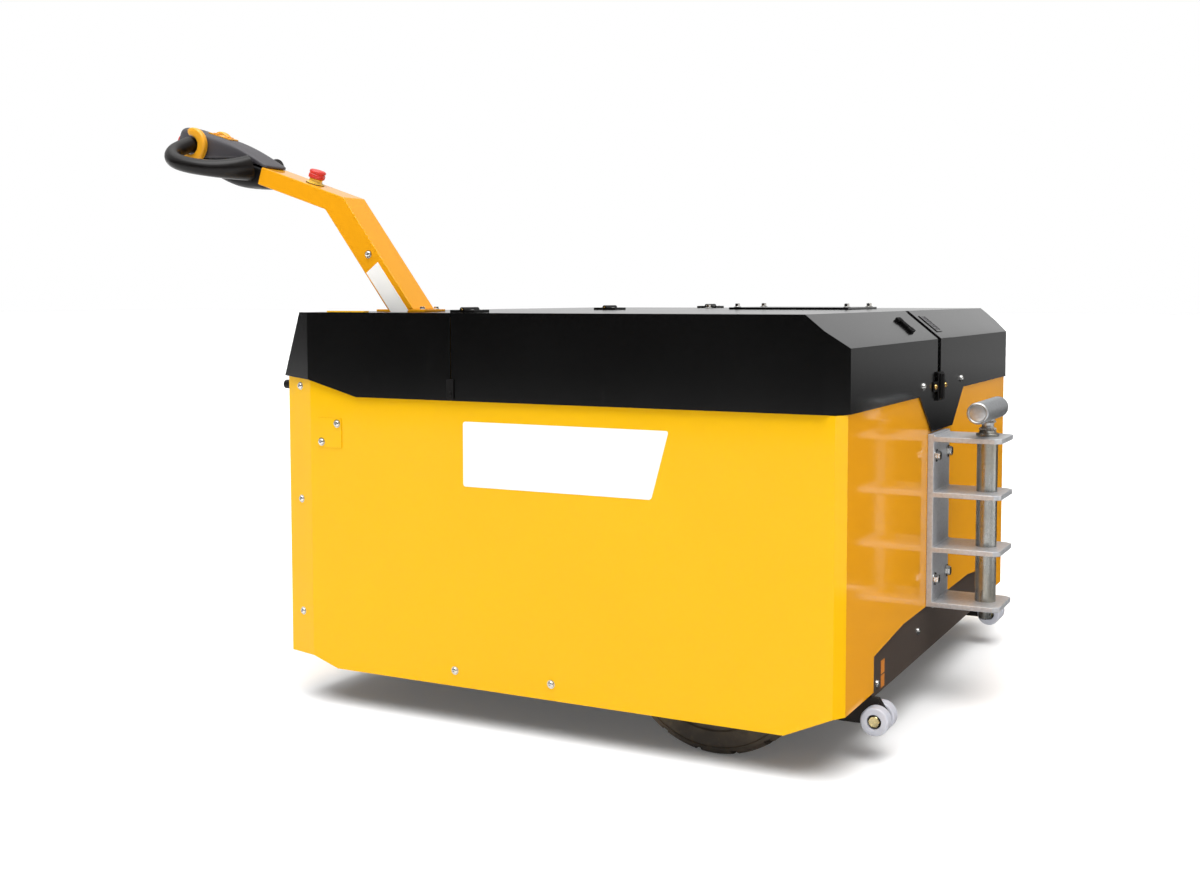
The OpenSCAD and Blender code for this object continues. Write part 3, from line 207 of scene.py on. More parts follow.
class Graph:
    """The node tree of one material or world."""

    def __init__(self, owner: bpy.types.ID) -> None:
        """Empties the tree of a new material or world.

        Args:
            owner: The material or world.
        """
        owner.use_nodes = True
        self.owner, self.tree = owner, owner.node_tree
        self.tree.nodes.clear()

    @cached_property
    def place(self) -> Wire:
        """Coordinates of the object that is drawn."""
        return self.node("TexCoord", {}, "Object")

    def node(self, kind: str, values: dict, output: int | str = 0, **settings: str | int) -> Wire | None:
        """Adds a node.

        Args:
            kind: The node's type, less its first word ShaderNode.
            values: What goes into its sockets, by index or name.
            output: The output to hand back.
            **settings: Its attributes.

        Returns:
            The chosen output, where the node has one.
        """
        made = self.tree.nodes.new("ShaderNode" + kind)
        for name, setting in settings.items():
            setattr(made, name, setting)
        for key, value in values.items():
            socket = made.inputs[key]
            if isinstance(value, Wire):
                self.tree.links.new(value.socket, socket)
            else:
                socket.default_value = (*value, 1) if socket.type == "RGBA" else value
        return Wire(self, made.outputs[output]) if made.outputs else None

    def rays(self) -> list[Wire]:
        """Tells rays from the camera, from a gloss and through glass from the others."""
        kinds = ("Camera", "Glossy", "Transmission")
        return [self.node("LightPath", {}, f"Is {kind} Ray") for kind in kinds]

    def noise(self, scale: float, detail: float = 2.0, stretch: Point = (1, 1, 1)) -> Wire:
        """Clouds around 0.5: so many per metre, with octaves of detail, stretched on three axes."""
        where = self.node("Mapping", {"Vector": self.place, "Scale": stretch})
        return self.node("TexNoise", {"Vector": where, "Scale": scale, "Detail": detail})

    def mix(self, share: Wire, start: "Wire | Colour", end: "Wire | Colour") -> Wire:
        """Blends two colours, from the first at share 0 to the second at 1."""
        return self.node("Mix", {0: share, 6: start, 7: end}, 2, data_type="RGBA")

    def edges(self, reach: float) -> Wire:
        """Is above 0 along edges and corners, within reach.

        Args:
            reach: Breadth of the edge in millimetres.

        Returns:
            The value.
        """
        rounded = self.node("Bevel", {"Radius": reach * MM}, samples=4)
        plain = self.node("NewGeometry", {}, "Normal")
        return 1 - self.node("VectorMath", {0: rounded, 1: plain}, 1, operation="DOT_PRODUCT")

    def bump(self, height: Wire, depth: float) -> Wire:
        """Turns heights from 0 to 1 into a normal, for a depth in millimetres."""
        return self.node("Bump", {"Height": height, "Distance": depth * MM, "Strength": 1.0})

    def surface(self, **values: "Wire | float | Colour") -> bpy.types.Material:
        """Ends a material in a Principled shader, given its sockets with _ for each blank."""
        sockets = {name.replace("_", " "): value for name, value in values.items()}
        return self.end(self.node("BsdfPrincipled", sockets))

    def end(self, shader: Wire, kind: str = "OutputMaterial") -> bpy.types.ID:
        """Joins a shader to the output and hands back the material or world."""
        self.node(kind, {"Surface": shader})
        return self.owner


@dataclass(frozen=True)
class Finish:
    """A surface finish that is made once and shared by its pieces."""

    name: str
    slot: str
    colour: Colour
    rough: float

    def make(self) -> bpy.types.Material:
        """The finish's material, made at its first use."""
        return bpy.data.materials.get(self.name) or self.build(Graph(bpy.data.materials.new(self.name)))

    def build(self, graph: Graph) -> bpy.types.Material:
        """Draws the finish into an empty material and hands it back."""
        raise NotImplementedError

    def toned(self, factor: float, lift: float = 0.0) -> Colour:
        """The finish's colour, darker or lighter."""
        return tuple(min(1.0, factor * c + lift) for c in self.colour)


@dataclass(frozen=True)
class Paint(Finish):
    """Stoved gloss paint on sheet steel: orange peel, dust and thin handling marks."""

    worn: Colour
    gloss: float
    peel: float

    def build(self, graph: Graph) -> bpy.types.Material:
        """Draws peel in the bump, and dust and rubbed edges in colour and roughness.

        Args:
            graph: The empty material.

        Returns:
            The finished material.
        """
        cloud = graph.noise(3.1, 3)
        marks = graph.noise(55, 6, (1, 1, 0.12)).between(0.66, 0.72)
        rubbed = graph.edges(1.1).between(0.05, 0.4) * graph.noise(90, 4).between(0.5, 0.62) * 0.5
        dusty = graph.mix(cloud.between(0.35, 0.8) * 0.22, self.colour, self.toned(0.82, 0.004))
        return graph.surface(
            Base_Color=graph.mix(rubbed, dusty, self.worn), Specular_IOR_Level=self.gloss,
            Roughness=cloud * 0.06 + marks * 0.03 + rubbed * 0.15 + (self.rough - 0.03),
            Normal=graph.bump(graph.noise(420, 2) + graph.noise(60, 1) * 2.0, self.peel),
        )


@dataclass(frozen=True)
class Plated(Finish):
    """Zinc or bright steel: cloudy plate, brushed grain and yellowed patches."""

    tint: Colour
    tinted: float = 0.5
    grain: Point = (1, 1, 1)
    dull: Colour = (0.2, 0.2, 0.2)
    metallic: float = 1.0

    def build(self, graph: Graph) -> bpy.types.Material:
        """Draws clouds of tint, brushed grain and dark pits.

        Args:
            graph: The empty material.

        Returns:
            The finished material.
        """
        cloud = graph.noise(14, 4)
        crystal = graph.node("TexVoronoi", {"Vector": graph.place, "Scale": 160}, "Distance")
        grain = graph.noise(260, 3, self.grain)
        pits = graph.noise(330, 2).between(0.68, 0.76)
        colour = graph.mix(cloud.between(0.48, 0.7) * self.tinted, self.colour, self.tint)
        colour = graph.mix(crystal.between(0.35, 0.8) * 0.25, colour, self.dull)
        return graph.surface(
            Base_Color=graph.mix(pits * 0.5, colour, self.dull), Metallic=self.metallic,
            Roughness=grain * 0.16 + cloud * 0.14 + pits * 0.2 + (self.rough - 0.15),
            Normal=graph.bump(grain + cloud * 0.6, 0.05),
        )


@dataclass(frozen=True)
class Moulded(Finish):
    """Moulded plastic with a spark-eroded grain, and shine where it is handled: lower roughness there, and a
    painted sheen of lighter colour.
    """

    grain: float
    depth: float = 0.04
    gloss: float = 0.5

    def build(self, graph: Graph) -> bpy.types.Material:
        """Draws the grain in the bump, and rubbed shine in the roughness and in the colour, where it is a
        painted sheen, with wear at the rims.

        Args:
            graph: The empty material.

        Returns:
            The finished material.
        """
        cloud = graph.noise(22, 3)
        grain = graph.noise(self.grain, 2)
        rim = graph.edges(1.0).between(0.05, 0.5)
        # Lighter colour in clouds and along rims: painted sheen, with edge wear at the rims.
        sheen_and_wear = cloud.between(0.4, 0.75) * 0.35 + rim * 0.25
        return graph.surface(
            Base_Color=graph.mix(sheen_and_wear, self.colour, self.toned(1.25, 0.004)),
            Roughness=cloud * 0.14 - rim * 0.06 + grain * 0.06 + (self.rough - 0.1),
            Specular_IOR_Level=self.gloss, Normal=graph.bump(grain, self.depth),
        )


@dataclass(frozen=True)
class Rubber(Finish):
    """Vulcanised rubber with dust in its hollows."""

    dust: Colour

    def build(self, graph: Graph) -> bpy.types.Material:
        """Draws dust clouds, scuffs and a fine skin.

        Args:
            graph: The empty material.

        Returns:
            The finished material.
        """
        cloud = graph.noise(11, 5)
        skin = graph.noise(640, 3)
        scuff = graph.noise(75, 5).between(0.56, 0.7)
        dusty = cloud.between(0.42, 0.66) * 0.55 + scuff * 0.25
        return graph.surface(
            Base_Color=graph.mix(dusty, self.colour, self.dust), Specular_IOR_Level=0.35,
            Roughness=scuff * 0.12 + skin * 0.1 + (self.rough - 0.05),
            Normal=graph.bump(skin + scuff, 0.12),
        )


@dataclass(frozen=True)
class Film(Finish):
    """Printed film of a bare label: smooth, with faint waves and grubby rims."""

    def build(self, graph: Graph) -> bpy.types.Material:
        """Draws faint waves in the bump and a slightly soiled rim.

        Args:
            graph: The empty material.

        Returns:
            The finished material.
        """
        wave = graph.noise(24, 2)
        specks = graph.noise(500, 2).between(0.7, 0.78)
        rim = graph.edges(1.5).between(0.02, 0.4)
        soil = wave.between(0.5, 0.8) * 0.12 + rim * 0.4 + specks * 0.1
        return graph.surface(
            Base_Color=graph.mix(soil, self.colour, self.toned(0.8)), Specular_IOR_Level=0.4,
            Roughness=wave * 0.1 + (self.rough - 0.05), Normal=graph.bump(wave, 0.05),
        )


@dataclass(frozen=True)
class Cast(Finish):
    """Sand-cast or rough-machined metal under thin paint."""

    metallic: float = 0.6

    def build(self, graph: Graph) -> bpy.types.Material:
        """Draws a pebbled skin with darker hollows.

        Args:
            graph: The empty material.

        Returns:
            The finished material.
        """
        pebble = graph.noise(190, 4)
        hollow = pebble.between(0.35, 0.7) * 0.5 + graph.noise(18, 3) * 0.2
        return graph.surface(
            Base_Color=graph.mix(hollow, self.colour, self.toned(0.55)), Metallic=self.metallic,
            Roughness=pebble * 0.2 + (self.rough - 0.1), Normal=graph.bump(pebble, 0.35),
        )


YELLOW = Paint("tug_yellow_paint", "body_yellow", shade(237, 182, 12), 0.1,
               worn=shade(252, 204, 84), gloss=0.17, peel=0.01)
# Shaded copy of the yellow paint, darker and more orange: painted shade for the front panels and the tiller,
# which get less light.
SHADED_YELLOW = Paint("tug_deep_yellow_paint", "body_yellow", shade(234, 160, 22), 0.08,
                    worn=shade(250, 196, 80), gloss=0.2, peel=0.008)
BLACK = Paint("tug_black_paint", "cover_black", shade(11, 11, 11), 0.15,
              worn=shade(84, 82, 84), gloss=0.3, peel=0.012)
TRIM = replace(BLACK, slot="black_plastic")
FRAME = Paint("tug_frame_paint", "frame_black", shade(36, 32, 30), 0.42,
              worn=shade(110, 104, 98), gloss=0.16, peel=0.06)
BUMPER = Paint("tug_bumper_paint", "frame_black", shade(74, 64, 57), 0.4,
               worn=shade(120, 112, 104), gloss=0.18, peel=0.05)
ZINC = Plated("tug_zinc_plate", "zinc", shade(186, 189, 192), 0.34, shade(182, 178, 160), 0.35,
              (1, 1, 0.25), dull=shade(138, 140, 143), metallic=0.72)
BRACKET = Plated("tug_zinc_bracket", "zinc", shade(196, 198, 202), 0.42, shade(186, 184, 172), 0.2,
                 (1, 1, 0.25), dull=shade(150, 152, 156), metallic=0.45)
BRIGHT = Plated("tug_bright_zinc", "zinc", shade(160, 161, 158), 0.28, shade(170, 158, 130), 0.35,
                (1, 1, 0.08), dull=shade(128, 130, 130), metallic=0.9)
PASSIVE = Plated("tug_yellow_zinc", "steel", shade(206, 192, 142), 0.26, shade(188, 160, 96))
STEEL = Plated("tug_bright_steel", "steel", shade(208, 208, 206), 0.2, shade(196, 188, 168), 0.3)
BRASS = Plated("tug_brass", "brass", shade(206, 168, 98), 0.24, shade(150, 112, 60),
               dull=shade(120, 92, 50))
WELD = Plated("tug_weld_bead", "zinc", shade(176, 172, 166), 0.36, shade(150, 126, 96), 0.7,
              dull=shade(96, 92, 90))
TYRE = Rubber("tug_tyre_rubber", "tyre_rubber", shade(52, 46, 39), 0.72, dust=shade(100, 87, 70))
SEAL = Rubber("tug_seal_rubber", "seal_rubber", shade(28, 28, 29), 0.66, dust=shade(52, 50, 48))
NYLON = Moulded("tug_white_nylon", "white_nylon", shade(192, 195, 205), 0.38, grain=700, depth=0.02)
LABEL = Film("tug_white_film", "white_label", shade(250, 249, 246), 0.3)
BARE = Film("tug_bare_film", "body_yellow", shade(206, 124, 34), 0.34)
GREY = Moulded("tug_grey_plastic", "grey_plastic", shade(66, 64, 68), 0.46, grain=1100, gloss=0.35)
DARK = Moulded("tug_black_plastic", "black_plastic", shade(12, 11, 11), 0.42, grain=1100, gloss=0.17)
LEAF = replace(DARK, slot="frame_black")
GRIP = Moulded("tug_grip_skin", "black_plastic", shade(14, 11, 10), 0.34,
               grain=1500, depth=0.02, gloss=0.24)
WING = Moulded("tug_yellow_plastic", "yellow_plastic", shade(236, 165, 32), 0.32, grain=1300, depth=0.015)
RED = Moulded("tug_red_plastic", "red_plastic", shade(206, 52, 44), 0.36, grain=1300, depth=0.02)
LEMON = Moulded("tug_collar_plastic", "yellow_plastic", shade(232, 196, 72), 0.36, grain=1300, depth=0.015)
CASE = Moulded("tug_battery_case", "battery_case", shade(66, 70, 78), 0.5, grain=600, depth=0.08)
IRON = Cast("tug_cast_grey", "cast_grey", shade(118, 118, 120), 0.5)
FINS = Cast("tug_cast_aluminium", "aluminium", shade(186, 188, 190), 0.4, metallic=1.0)
ENAMEL = Cast("tug_motor_enamel", "cast_grey", shade(34, 34, 36), 0.46, metallic=0.0)


class Shape:
    """A mesh in the making, in millimetres of the body. Its methods hand back the same shape."""

    def __init__(self) -> None:
        """Starts an empty mesh."""
        self.bm = bmesh.new()

    @classmethod
    def of_node(cls, node: str) -> "Shape":
        """Copies a CAD node, with its triangles merged into whole faces.

        Args:
            node: The node's name.

        Returns:
            The copy in millimetres.
        """
        made = cls()
        made.bm.from_mesh(frame["nodes"][node].data)
        made.moved(TO_FRAME.inverted())
        bmesh.ops.remove_doubles(made.bm, verts=made.bm.verts, dist=0.01)
        bmesh.ops.dissolve_limit(
            made.bm, angle_limit=math.radians(0.6), verts=made.bm.verts, edges=made.bm.edges
        )
        return made

    def soften(self, fold: float, cut: float, slim: float = 5.0) -> "Shape":
        """Rounds a sheet's folds widely and its cut edges finely.

        Args:
            fold: Radius of folds between broad faces.
            cut: Radius of the other edges.
            slim: Breadth under which a face counts as a cut edge's face.

        Returns:
            The same shape.
        """
        for width, folds, least in ((fold, True, 4), (cut, False, 28)):
            broad = {f: 2 * f.calc_area() / max(f.calc_perimeter(), 0.01) > slim for f in self.bm.faces}
            self.bevel([
                e for e in self.sharp(least)
                if len(e.link_faces) == 2 and e.calc_length() > 0.5
                and all(broad[f] for f in e.link_faces) == folds
            ], width, 3 if folds else 2)
            bmesh.ops.dissolve_degenerate(self.bm, edges=self.bm.edges, dist=0.005)
        return self

    def bevel(self, edges: Iterable[bmesh.types.BMEdge], width: float, segments: int = 2) -> "Shape":
        """Rounds some edges.

        Args:
            edges: The edges.
            width: Radius of the rounding.
            segments: Faces across it.

        Returns:
            The same shape.
        """
        if chosen := list(edges):
            bmesh.ops.bevel(
                self.bm, geom=chosen, offset=width, offset_type="OFFSET", segments=segments,
                profile=0.5, affect="EDGES", material=-1, clamp_overlap=True,
            )
        return self

    def sharp(self, angle: float) -> list[bmesh.types.BMEdge]:
        """Edges that turn by more than angle degrees."""
        self.bm.normal_update()
        return [e for e in self.bm.edges if e.calc_face_angle(0) > math.radians(angle)]

    def block(self, low: Point, high: Point, edge: float, place: Matrix = Matrix()) -> "Shape":
        """Adds a box.

        Args:
            low: Lowest corner.
            high: Highest corner.
            edge: Radius of its edges.
            place: Matrix that moves the box.

        Returns:
            The same shape.
        """
        low, high = Vector(low), Vector(high)
        made = bmesh.ops.create_cube(self.bm, size=1)["verts"]
        move = Matrix.Translation((low + high) / 2) @ Matrix.Diagonal((*(high - low), 1))
        bmesh.ops.transform(self.bm, matrix=place @ move, verts=made)
        return self.bevel({e for v in made for e in v.link_edges}, edge)

    def turn(self, profile: Line, steps: int, *places: Matrix) -> "Shape":
        """Adds a turned solid at each place.

        Args:
            profile: Radius and height of each point, in order round the section.
            steps: Faces round the axis.
            *places: Matrices that put the axis and its foot in place.

        Returns:
            The same shape.
        """
        for place in places:
            before = set(self.bm.verts)
            verts = [self.bm.verts.new((radius, 0, height)) for radius, height in profile]
            edges = [self.bm.edges.new(pair) for pair in zip(verts, verts[1:])]
            bmesh.ops.spin(
                self.bm, geom=verts + edges, cent=(0, 0, 0), axis=(0, 0, 1), dvec=(0, 0, 0),
                angle=math.tau, steps=steps, use_merge=True,
            )
            made = [v for v in self.bm.verts if v not in before]
            bmesh.ops.remove_doubles(self.bm, verts=made, dist=0.001)
            made = [v for v in self.bm.verts if v not in before]
            bmesh.ops.transform(self.bm, matrix=place, verts=made)
        return self

    def dome_bolts(self, *places: Matrix) -> "Shape":
        """Adds a button-head bolt on its washer at each place, along its z axis."""
        return self.turn(DOME_BOLT, 24, *places)

    def hex_bolts(self, size: Point, *places: Matrix) -> "Shape":
        """Adds a hex bolt's head at each place, along its z axis.

        Args:
            size: Radius over the corners, height, and the washer's radius and thickness or zeros.
            *places: Where the heads stand.

        Returns:
            The same shape.
        """
        radius, height, washer, thick = size
        if washer:
            inner, cut = washer - min(0.4, thick / 3), min(0.4, thick / 3)
            rim = [(0, 0), (inner, 0), (washer, cut), (washer, thick - cut), (inner, thick), (0, thick)]
            self.turn(rim, 32, *places)
        for part, steps in ((HEX_CORE, 6), (HEX_TOP, 32)):
            self.turn([(radius * r, thick + height * h) for r, h in part], steps, *places)
        return self

    def plate(self, outline: Line, y: float, depth: float) -> "Shape":
        """Adds an upright plate.

        Args:
            outline: X and z of its corners.
            y: Where its outline lies.
            depth: Thickness, along Y.

        Returns:
            The same shape.
        """
        face = self.bm.faces.new([self.bm.verts.new((x, y, z)) for x, z in outline])
        grown = corners(bmesh.ops.extrude_face_region(self.bm, geom=[face])["geom"])
        bmesh.ops.translate(self.bm, vec=(0, depth, 0), verts=grown)
        return self

    def loft(self, rings: Sequence[Matrix], sides: int, warp: Callable | None = None) -> "Shape":
        """Joins circles along a path into a closed skin.

        Args:
            rings: Matrix that places each unit circle.
            sides: Corners of each circle.
            warp: Changes a ring's corner, given its index and point.

        Returns:
            The same shape.
        """
        last = None
        for index, matrix in enumerate(rings):
            ends = index in (0, len(rings) - 1)
            ring = bmesh.ops.create_circle(self.bm, radius=1, segments=sides, cap_ends=ends)["verts"]
            if warp:
                for v in ring:
                    v.co = warp(index, v.co)
            bmesh.ops.transform(self.bm, matrix=matrix, verts=ring)
            edges = {e for v in ring for e in v.link_edges}
            if last:
                bmesh.ops.bridge_loops(self.bm, edges=list(last | edges))
            last = edges
        return self

    def bead(self, start: Vector, end: Vector, radius: float, seed: float) -> "Shape":
        """Adds one rippled weld bead.

        Args:
            start: One end.
            end: The other end.
            radius: Mean radius.
            seed: Shifts the ripples.

        Returns:
            The same shape.
        """
        run = end - start
        steps = max(8, int(run.length / 2.2))
        rings = []
        for k in range(steps + 1):
            swell = radius * (1 + 0.1 * math.sin(2.4 * k + seed) + 0.06 * math.sin(0.7 * k + 3 * seed))
            swell *= 0.45 if k in (0, steps) else 1
            place = Matrix.Translation(start + run * (k / steps)) @ leaning(run)
            rings.append(place @ Matrix.Scale(swell, 4))
        return self.loft(rings, 8)

    def mirrored(self) -> "Shape":
        """Adds the mirror image across the middle line.

        Returns:
            The same shape.
        """
        geom = self.bm.verts[:] + self.bm.edges[:] + self.bm.faces[:]
        copy = bmesh.ops.duplicate(self.bm, geom=geom)["geom"]
        bmesh.ops.scale(self.bm, vec=(1, -1, 1), verts=corners(copy))
        bmesh.ops.reverse_faces(self.bm, faces=[g for g in copy if isinstance(g, bmesh.types.BMFace)])
        return self

    def moved(self, matrix: Matrix) -> "Shape":
        """Moves the whole shape by a matrix."""
        bmesh.ops.transform(self.bm, matrix=matrix, verts=self.bm.verts)
        return self

    def outward(self) -> "Shape":
        """Points the faces outwards."""
        bmesh.ops.recalc_face_normals(self.bm, faces=self.bm.faces)
        return self


@dataclass
class Assembly:
    """A group of pieces that are built and dressed together."""

    def build(self) -> list[Object]:
        """Builds the group's pieces and hands them back."""
        raise NotImplementedError

    def piece(self, shape: Shape, finish: Finish, node: str = "", name: str = "", body: str = "",
              angle: float = 42) -> Object:
        """Turns a shape into a finished piece.

        Args:
            shape: The mesh in millimetres.
            finish: Its finish.
            node: CAD node that it stands for, if any.
            name: The piece's name, by default from the node's.
            body: The CAD body that it rides on, by default the node's.
            angle: Edges that turn by more than this many degrees stay sharp.

        Returns:
            The new object.
        """
        shape.moved(TO_FRAME)
        mesh = bpy.data.meshes.new(name or node + "_made")
        shape.bm.to_mesh(mesh)
        shape.bm.free()
        if stale := mesh.attributes.get("custom_normal"):
            mesh.attributes.remove(stale)
        mesh.shade_smooth()
        mesh.set_sharp_from_angle(angle=math.radians(angle))
        mesh.materials.append(finish.make())
        made = added(mesh.name, mesh)
        made.modifiers.new("level", "WEIGHTED_NORMAL").keep_sharp = True
        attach(made, body or BODY_OF[node])
        if node:
            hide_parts(node)
        return made

    def rounded(self, *rows: tuple) -> list[Object]:
        """Makes pieces from CAD nodes, with their folds and edges rounded.

        Args:
            *rows: Each node with its finish and the values for soften.

        Returns:
            The pieces.
        """
        return [
            self.piece(Shape.of_node(node).soften(*radii), finish, node) for node, finish, *radii in rows
        ]

    def dress(self, *rows: tuple[str, Finish]) -> list[Object]:
        """Gives CAD nodes their finishes.

        Args:
            *rows: Each node with its finish.

        Returns:
            The nodes' objects.
        """
        made = []
        for node, finish in rows:
            made.append(frame["nodes"][node])
            if not made[-1].material_slots:
                made[-1].data.materials.append(finish.make())
            for slot in made[-1].material_slots:
                slot.material = finish.make()
        return made


@dataclass
class Hull(Assembly):
    """Yellow panels, bumper plate, bare labels and the bolts that hold them."""

    panel_y: float = 645
    panel_bolts: Line = ((-174, 0, 106), (33, 0, 106), (-480, 2, 524.5), (-442, 2, 561.5))
    strip_x: float = -539
    strip_in: float = 8.94
    strip_turn: float = 13.75
    strip_heights: Point = (632, 407, 181)
    bumper_x: float = 571
    bumper_bolts: Line = ((145, 156), (423, 121))
    field_ends: Point = (377, 399)
    field_heights: Line = ((107, 129), (132, 156))
    label_corners: Line = ((-152, 456), (233, 456), (266, 577), (-152, 577))
    label_t: float = 0.9
    label_round: float = 5
    label_edge: float = 0.3

    def build(self) -> list[Object]:
        """Builds the outer sheets and what is fixed to them.

        Returns:
            The pieces.
        """
        return self.rounded(
            ("side_panel_right", YELLOW, 2.6, 0.5), ("side_panel_left", YELLOW, 2.6, 0.5),
            # The front panels take the shaded copy of the yellow paint: painted shade.
            ("rear_panel", YELLOW, 2.6, 0.5), ("front_panels", SHADED_YELLOW, 2.6, 0.5),
            ("bumper_plate", BUMPER, 0.8, 0.8), ("service_plates", YELLOW, 0.6, 0.6),
            ("side_clips", DARK, 0.7, 0.7, 2),
        ) + [self.labels(), self.fields(), self.bolts()]

    def labels(self) -> Object:
        """Builds the two bare side labels, with rounded corners.

        Returns:
            The piece.
        """
        shape = Shape().plate(self.label_corners, self.panel_y, self.label_t)
        half, middle = self.label_t / 2, self.panel_y + self.label_t / 2
        upright = [e for e in shape.bm.edges if abs(e.verts[0].co.y - e.verts[1].co.y) > half]
        shape.bevel(upright, self.label_round, 4)
        rim = [e for e in shape.sharp(60) if all(v.co.y > middle for v in e.verts)]
        shape.bevel(rim, self.label_edge)
        return self.piece(shape.outward().mirrored(), LABEL, "label_plates")

    def fields(self) -> Object:
        """Builds the two small bare plates on the bumper, each in two fields.

        Returns:
            The piece.
        """
        shape = Shape()
        near, far = self.field_ends
        for low, high in self.field_heights:
            end = (self.bumper_x + self.label_t, far, high)
            shape.block((self.bumper_x, near, low), end, self.label_edge)
        return self.piece(shape.mirrored(), BARE, name="strip_labels_made", body="base")

    def bolts(self) -> Object:
        """Builds the bolts of the panels and the bumper.

        Returns:
            The piece.
        """
        foot = (self.strip_x, self.panel_y - self.strip_in, 0)
        strip = Matrix.Translation(foot) @ spin(self.strip_turn, "Z")
        places = [strip @ facing(Axis.Y, (0, 0, z)) for z in self.strip_heights]
        places += [facing(Axis.Y, (x, self.panel_y + proud, z)) for x, proud, z in self.panel_bolts]
        places += [facing(Axis.X, (self.bumper_x, *spot)) for spot in self.bumper_bolts]
        return self.piece(Shape().dome_bolts(*places).mirrored(), STEEL, "body_bolts")


@dataclass
class Covers(Assembly):
    """Rear cover and lid with hinges, latch, knob, trims and the access plate."""

    top: float = 778
    front: float = 579.5
    plate_t: float = 5
    plate_x: Point = (64, 322)
    plate_y: Point = (178, 348)
    pad_spot: Point = (-152, 519)
    split: float = -174
    hinge_spots: Point = (-585, 0, 585)
    hinge_reach: float = 17
    hinge_rise: float = 5.3
    leaf_t: float = 5
    hinge_pin: Line = ((0, -28.5), (1.6, -28.3), (2.5, -27.2), (2.5, 27.2), (1.6, 28.3), (0, 28.5))
    hinge_screw: Line = ((0, 0), (3.6, 0), (3.6, 0.15), (3.1, 0.5), (1.6, 0.55), (1.5, 0.1), (0, 0.1))
    flange_bolts: Line = ((-156, 634), (156, 634))
    cap_screw: Point = (6.2, 7, 8.5, 1.6)
    slot_y: float = -37
    latch_z: float = 629
    ear_t: float = 3
    ears_y: Point = (-39, 39)
    latch_screw: Line = ((0, 0), (5.2, 0), (5.3, 0.5), (5.0, 2.4), (3.9, 3.7), (2.2, 3.9), (2.0, 2.4),
                         (0, 2.3))
    bevel_mid: Point = (545.5, 0, 750.35)
    bevel_tilt: float = 39.12
    knob_y: float = -173
    knob_shrink: Point = (0.76, 0.76, 0.7, 1)
    rib_rows: Line = ((0, -4.5, 24, 0.9, 9.2), (0, 0, 24, 0.9, 9.2), (0, 4.5, 24, 0.9, 9.2),
                      (-20, -11, 5, 1, 8.8), (-20, 11, 5, 1, 8.8), (20, -11, 5, 1, 8.8), (20, 11, 5, 1, 8.8))
    rib_foot: float = 7.6
    rib_lift: float = 0.3
    rib_edge: float = 0.6
    bars_at: Point = (0, -15, 1)
    bars_x: Point = (-19, -11, -3, 5, 13)
    bar_low: Point = (0, 23, 0.7)
    bar_high: Point = (5.5, 51, 1.2)
    bar_edge: float = 0.25

    def build(self) -> list[Object]:
        """Builds both covers and what they carry.

        Returns:
            The pieces.
        """
        return self.rounded(
            ("rear_cover", BLACK, 2.2, 0.5), ("lid", BLACK, 2.2, 0.5), ("access_plate", BLACK, 1.2, 1.2),
            ("hinge_fixed_leaves", LEAF, 0.7, 0.7, 2), ("hinge_moving_leaves", LEAF, 0.7, 0.7, 2),
            ("latch_base", DARK, 1.2, 1.0, 2), ("latch_handle", DARK, 1.2, 1.0, 2),
            ("lid_trims", TRIM, 0.3, 0.3, 1), ("rear_switch", DARK, 0.8, 0.8, 2),
        ) + self.dress(("cover_seal", SEAL), ("latch_cam", ZINC)) + [
            self.hinge_pins(), self.hinge_screws("base", -1), self.hinge_screws("lid", 1),
            self.knob(), self.knob_ribs(), self.indicator(), self.screws(), self.latch_screws(),
        ]

    def hinge_pins(self) -> Object:
        """Builds the brass pins with domed ends."""
        places = [facing(Axis.Y, (self.split, y, self.top + self.hinge_rise)) for y in self.hinge_spots]
        return self.piece(Shape().turn(self.hinge_pin, 20, *places).outward(), BRASS, "hinge_pins")

    def hinge_screws(self, body: str, side: int) -> Object:
        """Builds the countersunk screws of one row of leaves.

        Args:
            body: The body that they ride on.
            side: -1 for the fixed leaves, 1 for the moving ones.

        Returns:
            The screws.
        """
        x = self.split + side * self.hinge_reach
        steps = (-self.hinge_reach, self.hinge_reach)
        top = self.top + self.leaf_t
        places = [facing(Axis.Z, (x, y + step, top)) for y in self.hinge_spots for step in steps]
        shape = Shape().turn(self.hinge_screw, 16, *places)
        return self.piece(shape, STEEL, name=f"hinge_screws_{body}", body=body)

    def on_bevel(self, *spot: float) -> Matrix:
        """Places things on the lid's slope: x runs down it and z stands on it."""
        return Matrix.Translation(self.bevel_mid) @ spin(self.bevel_tilt, "Y") @ Matrix.Translation(spot)

    @property
    def knob_scale(self) -> Matrix:
        """Makes the knob as small as it looks, about its foot on the slope."""
        place = self.on_bevel(0, self.knob_y, 0)
        return place @ Matrix.Diagonal(self.knob_shrink) @ place.inverted()

    def knob(self) -> Object:
        """Builds the bow-shaped turn knob from its CAD node."""
        shape = Shape.of_node("turn_knob").soften(2.0, 1.6, 2).moved(self.knob_scale)
        return self.piece(shape, DARK, "turn_knob")

    def knob_ribs(self) -> Object:
        """Builds the finger ribs along the turn knob, from their middles, half sizes and tops.

        Returns:
            The piece.
        """
        shape = Shape()
        place = self.on_bevel(0, self.knob_y, self.rib_lift)
        for x, y, long, wide, top in self.rib_rows:
            low, high = (x - long, y - wide, self.rib_foot), (x + long, y + wide, top)
            shape.block(low, high, self.rib_edge, place)
        return self.piece(shape.moved(self.knob_scale), DARK, name="knob_ribs", body="knob")

    def indicator(self) -> Object:
        """Builds the row of blank bars in the charge indicator's window.

        Returns:
            The piece.
        """
        shape = Shape()
        for x in self.bars_x:
            step = Vector((x, 0, 0))
            low, high = Vector(self.bar_low) + step, Vector(self.bar_high) + step
            shape.block(low, high, self.bar_edge, self.on_bevel(*self.bars_at))
        return self.piece(shape, GREY, name="indicator_bars", body="lid")

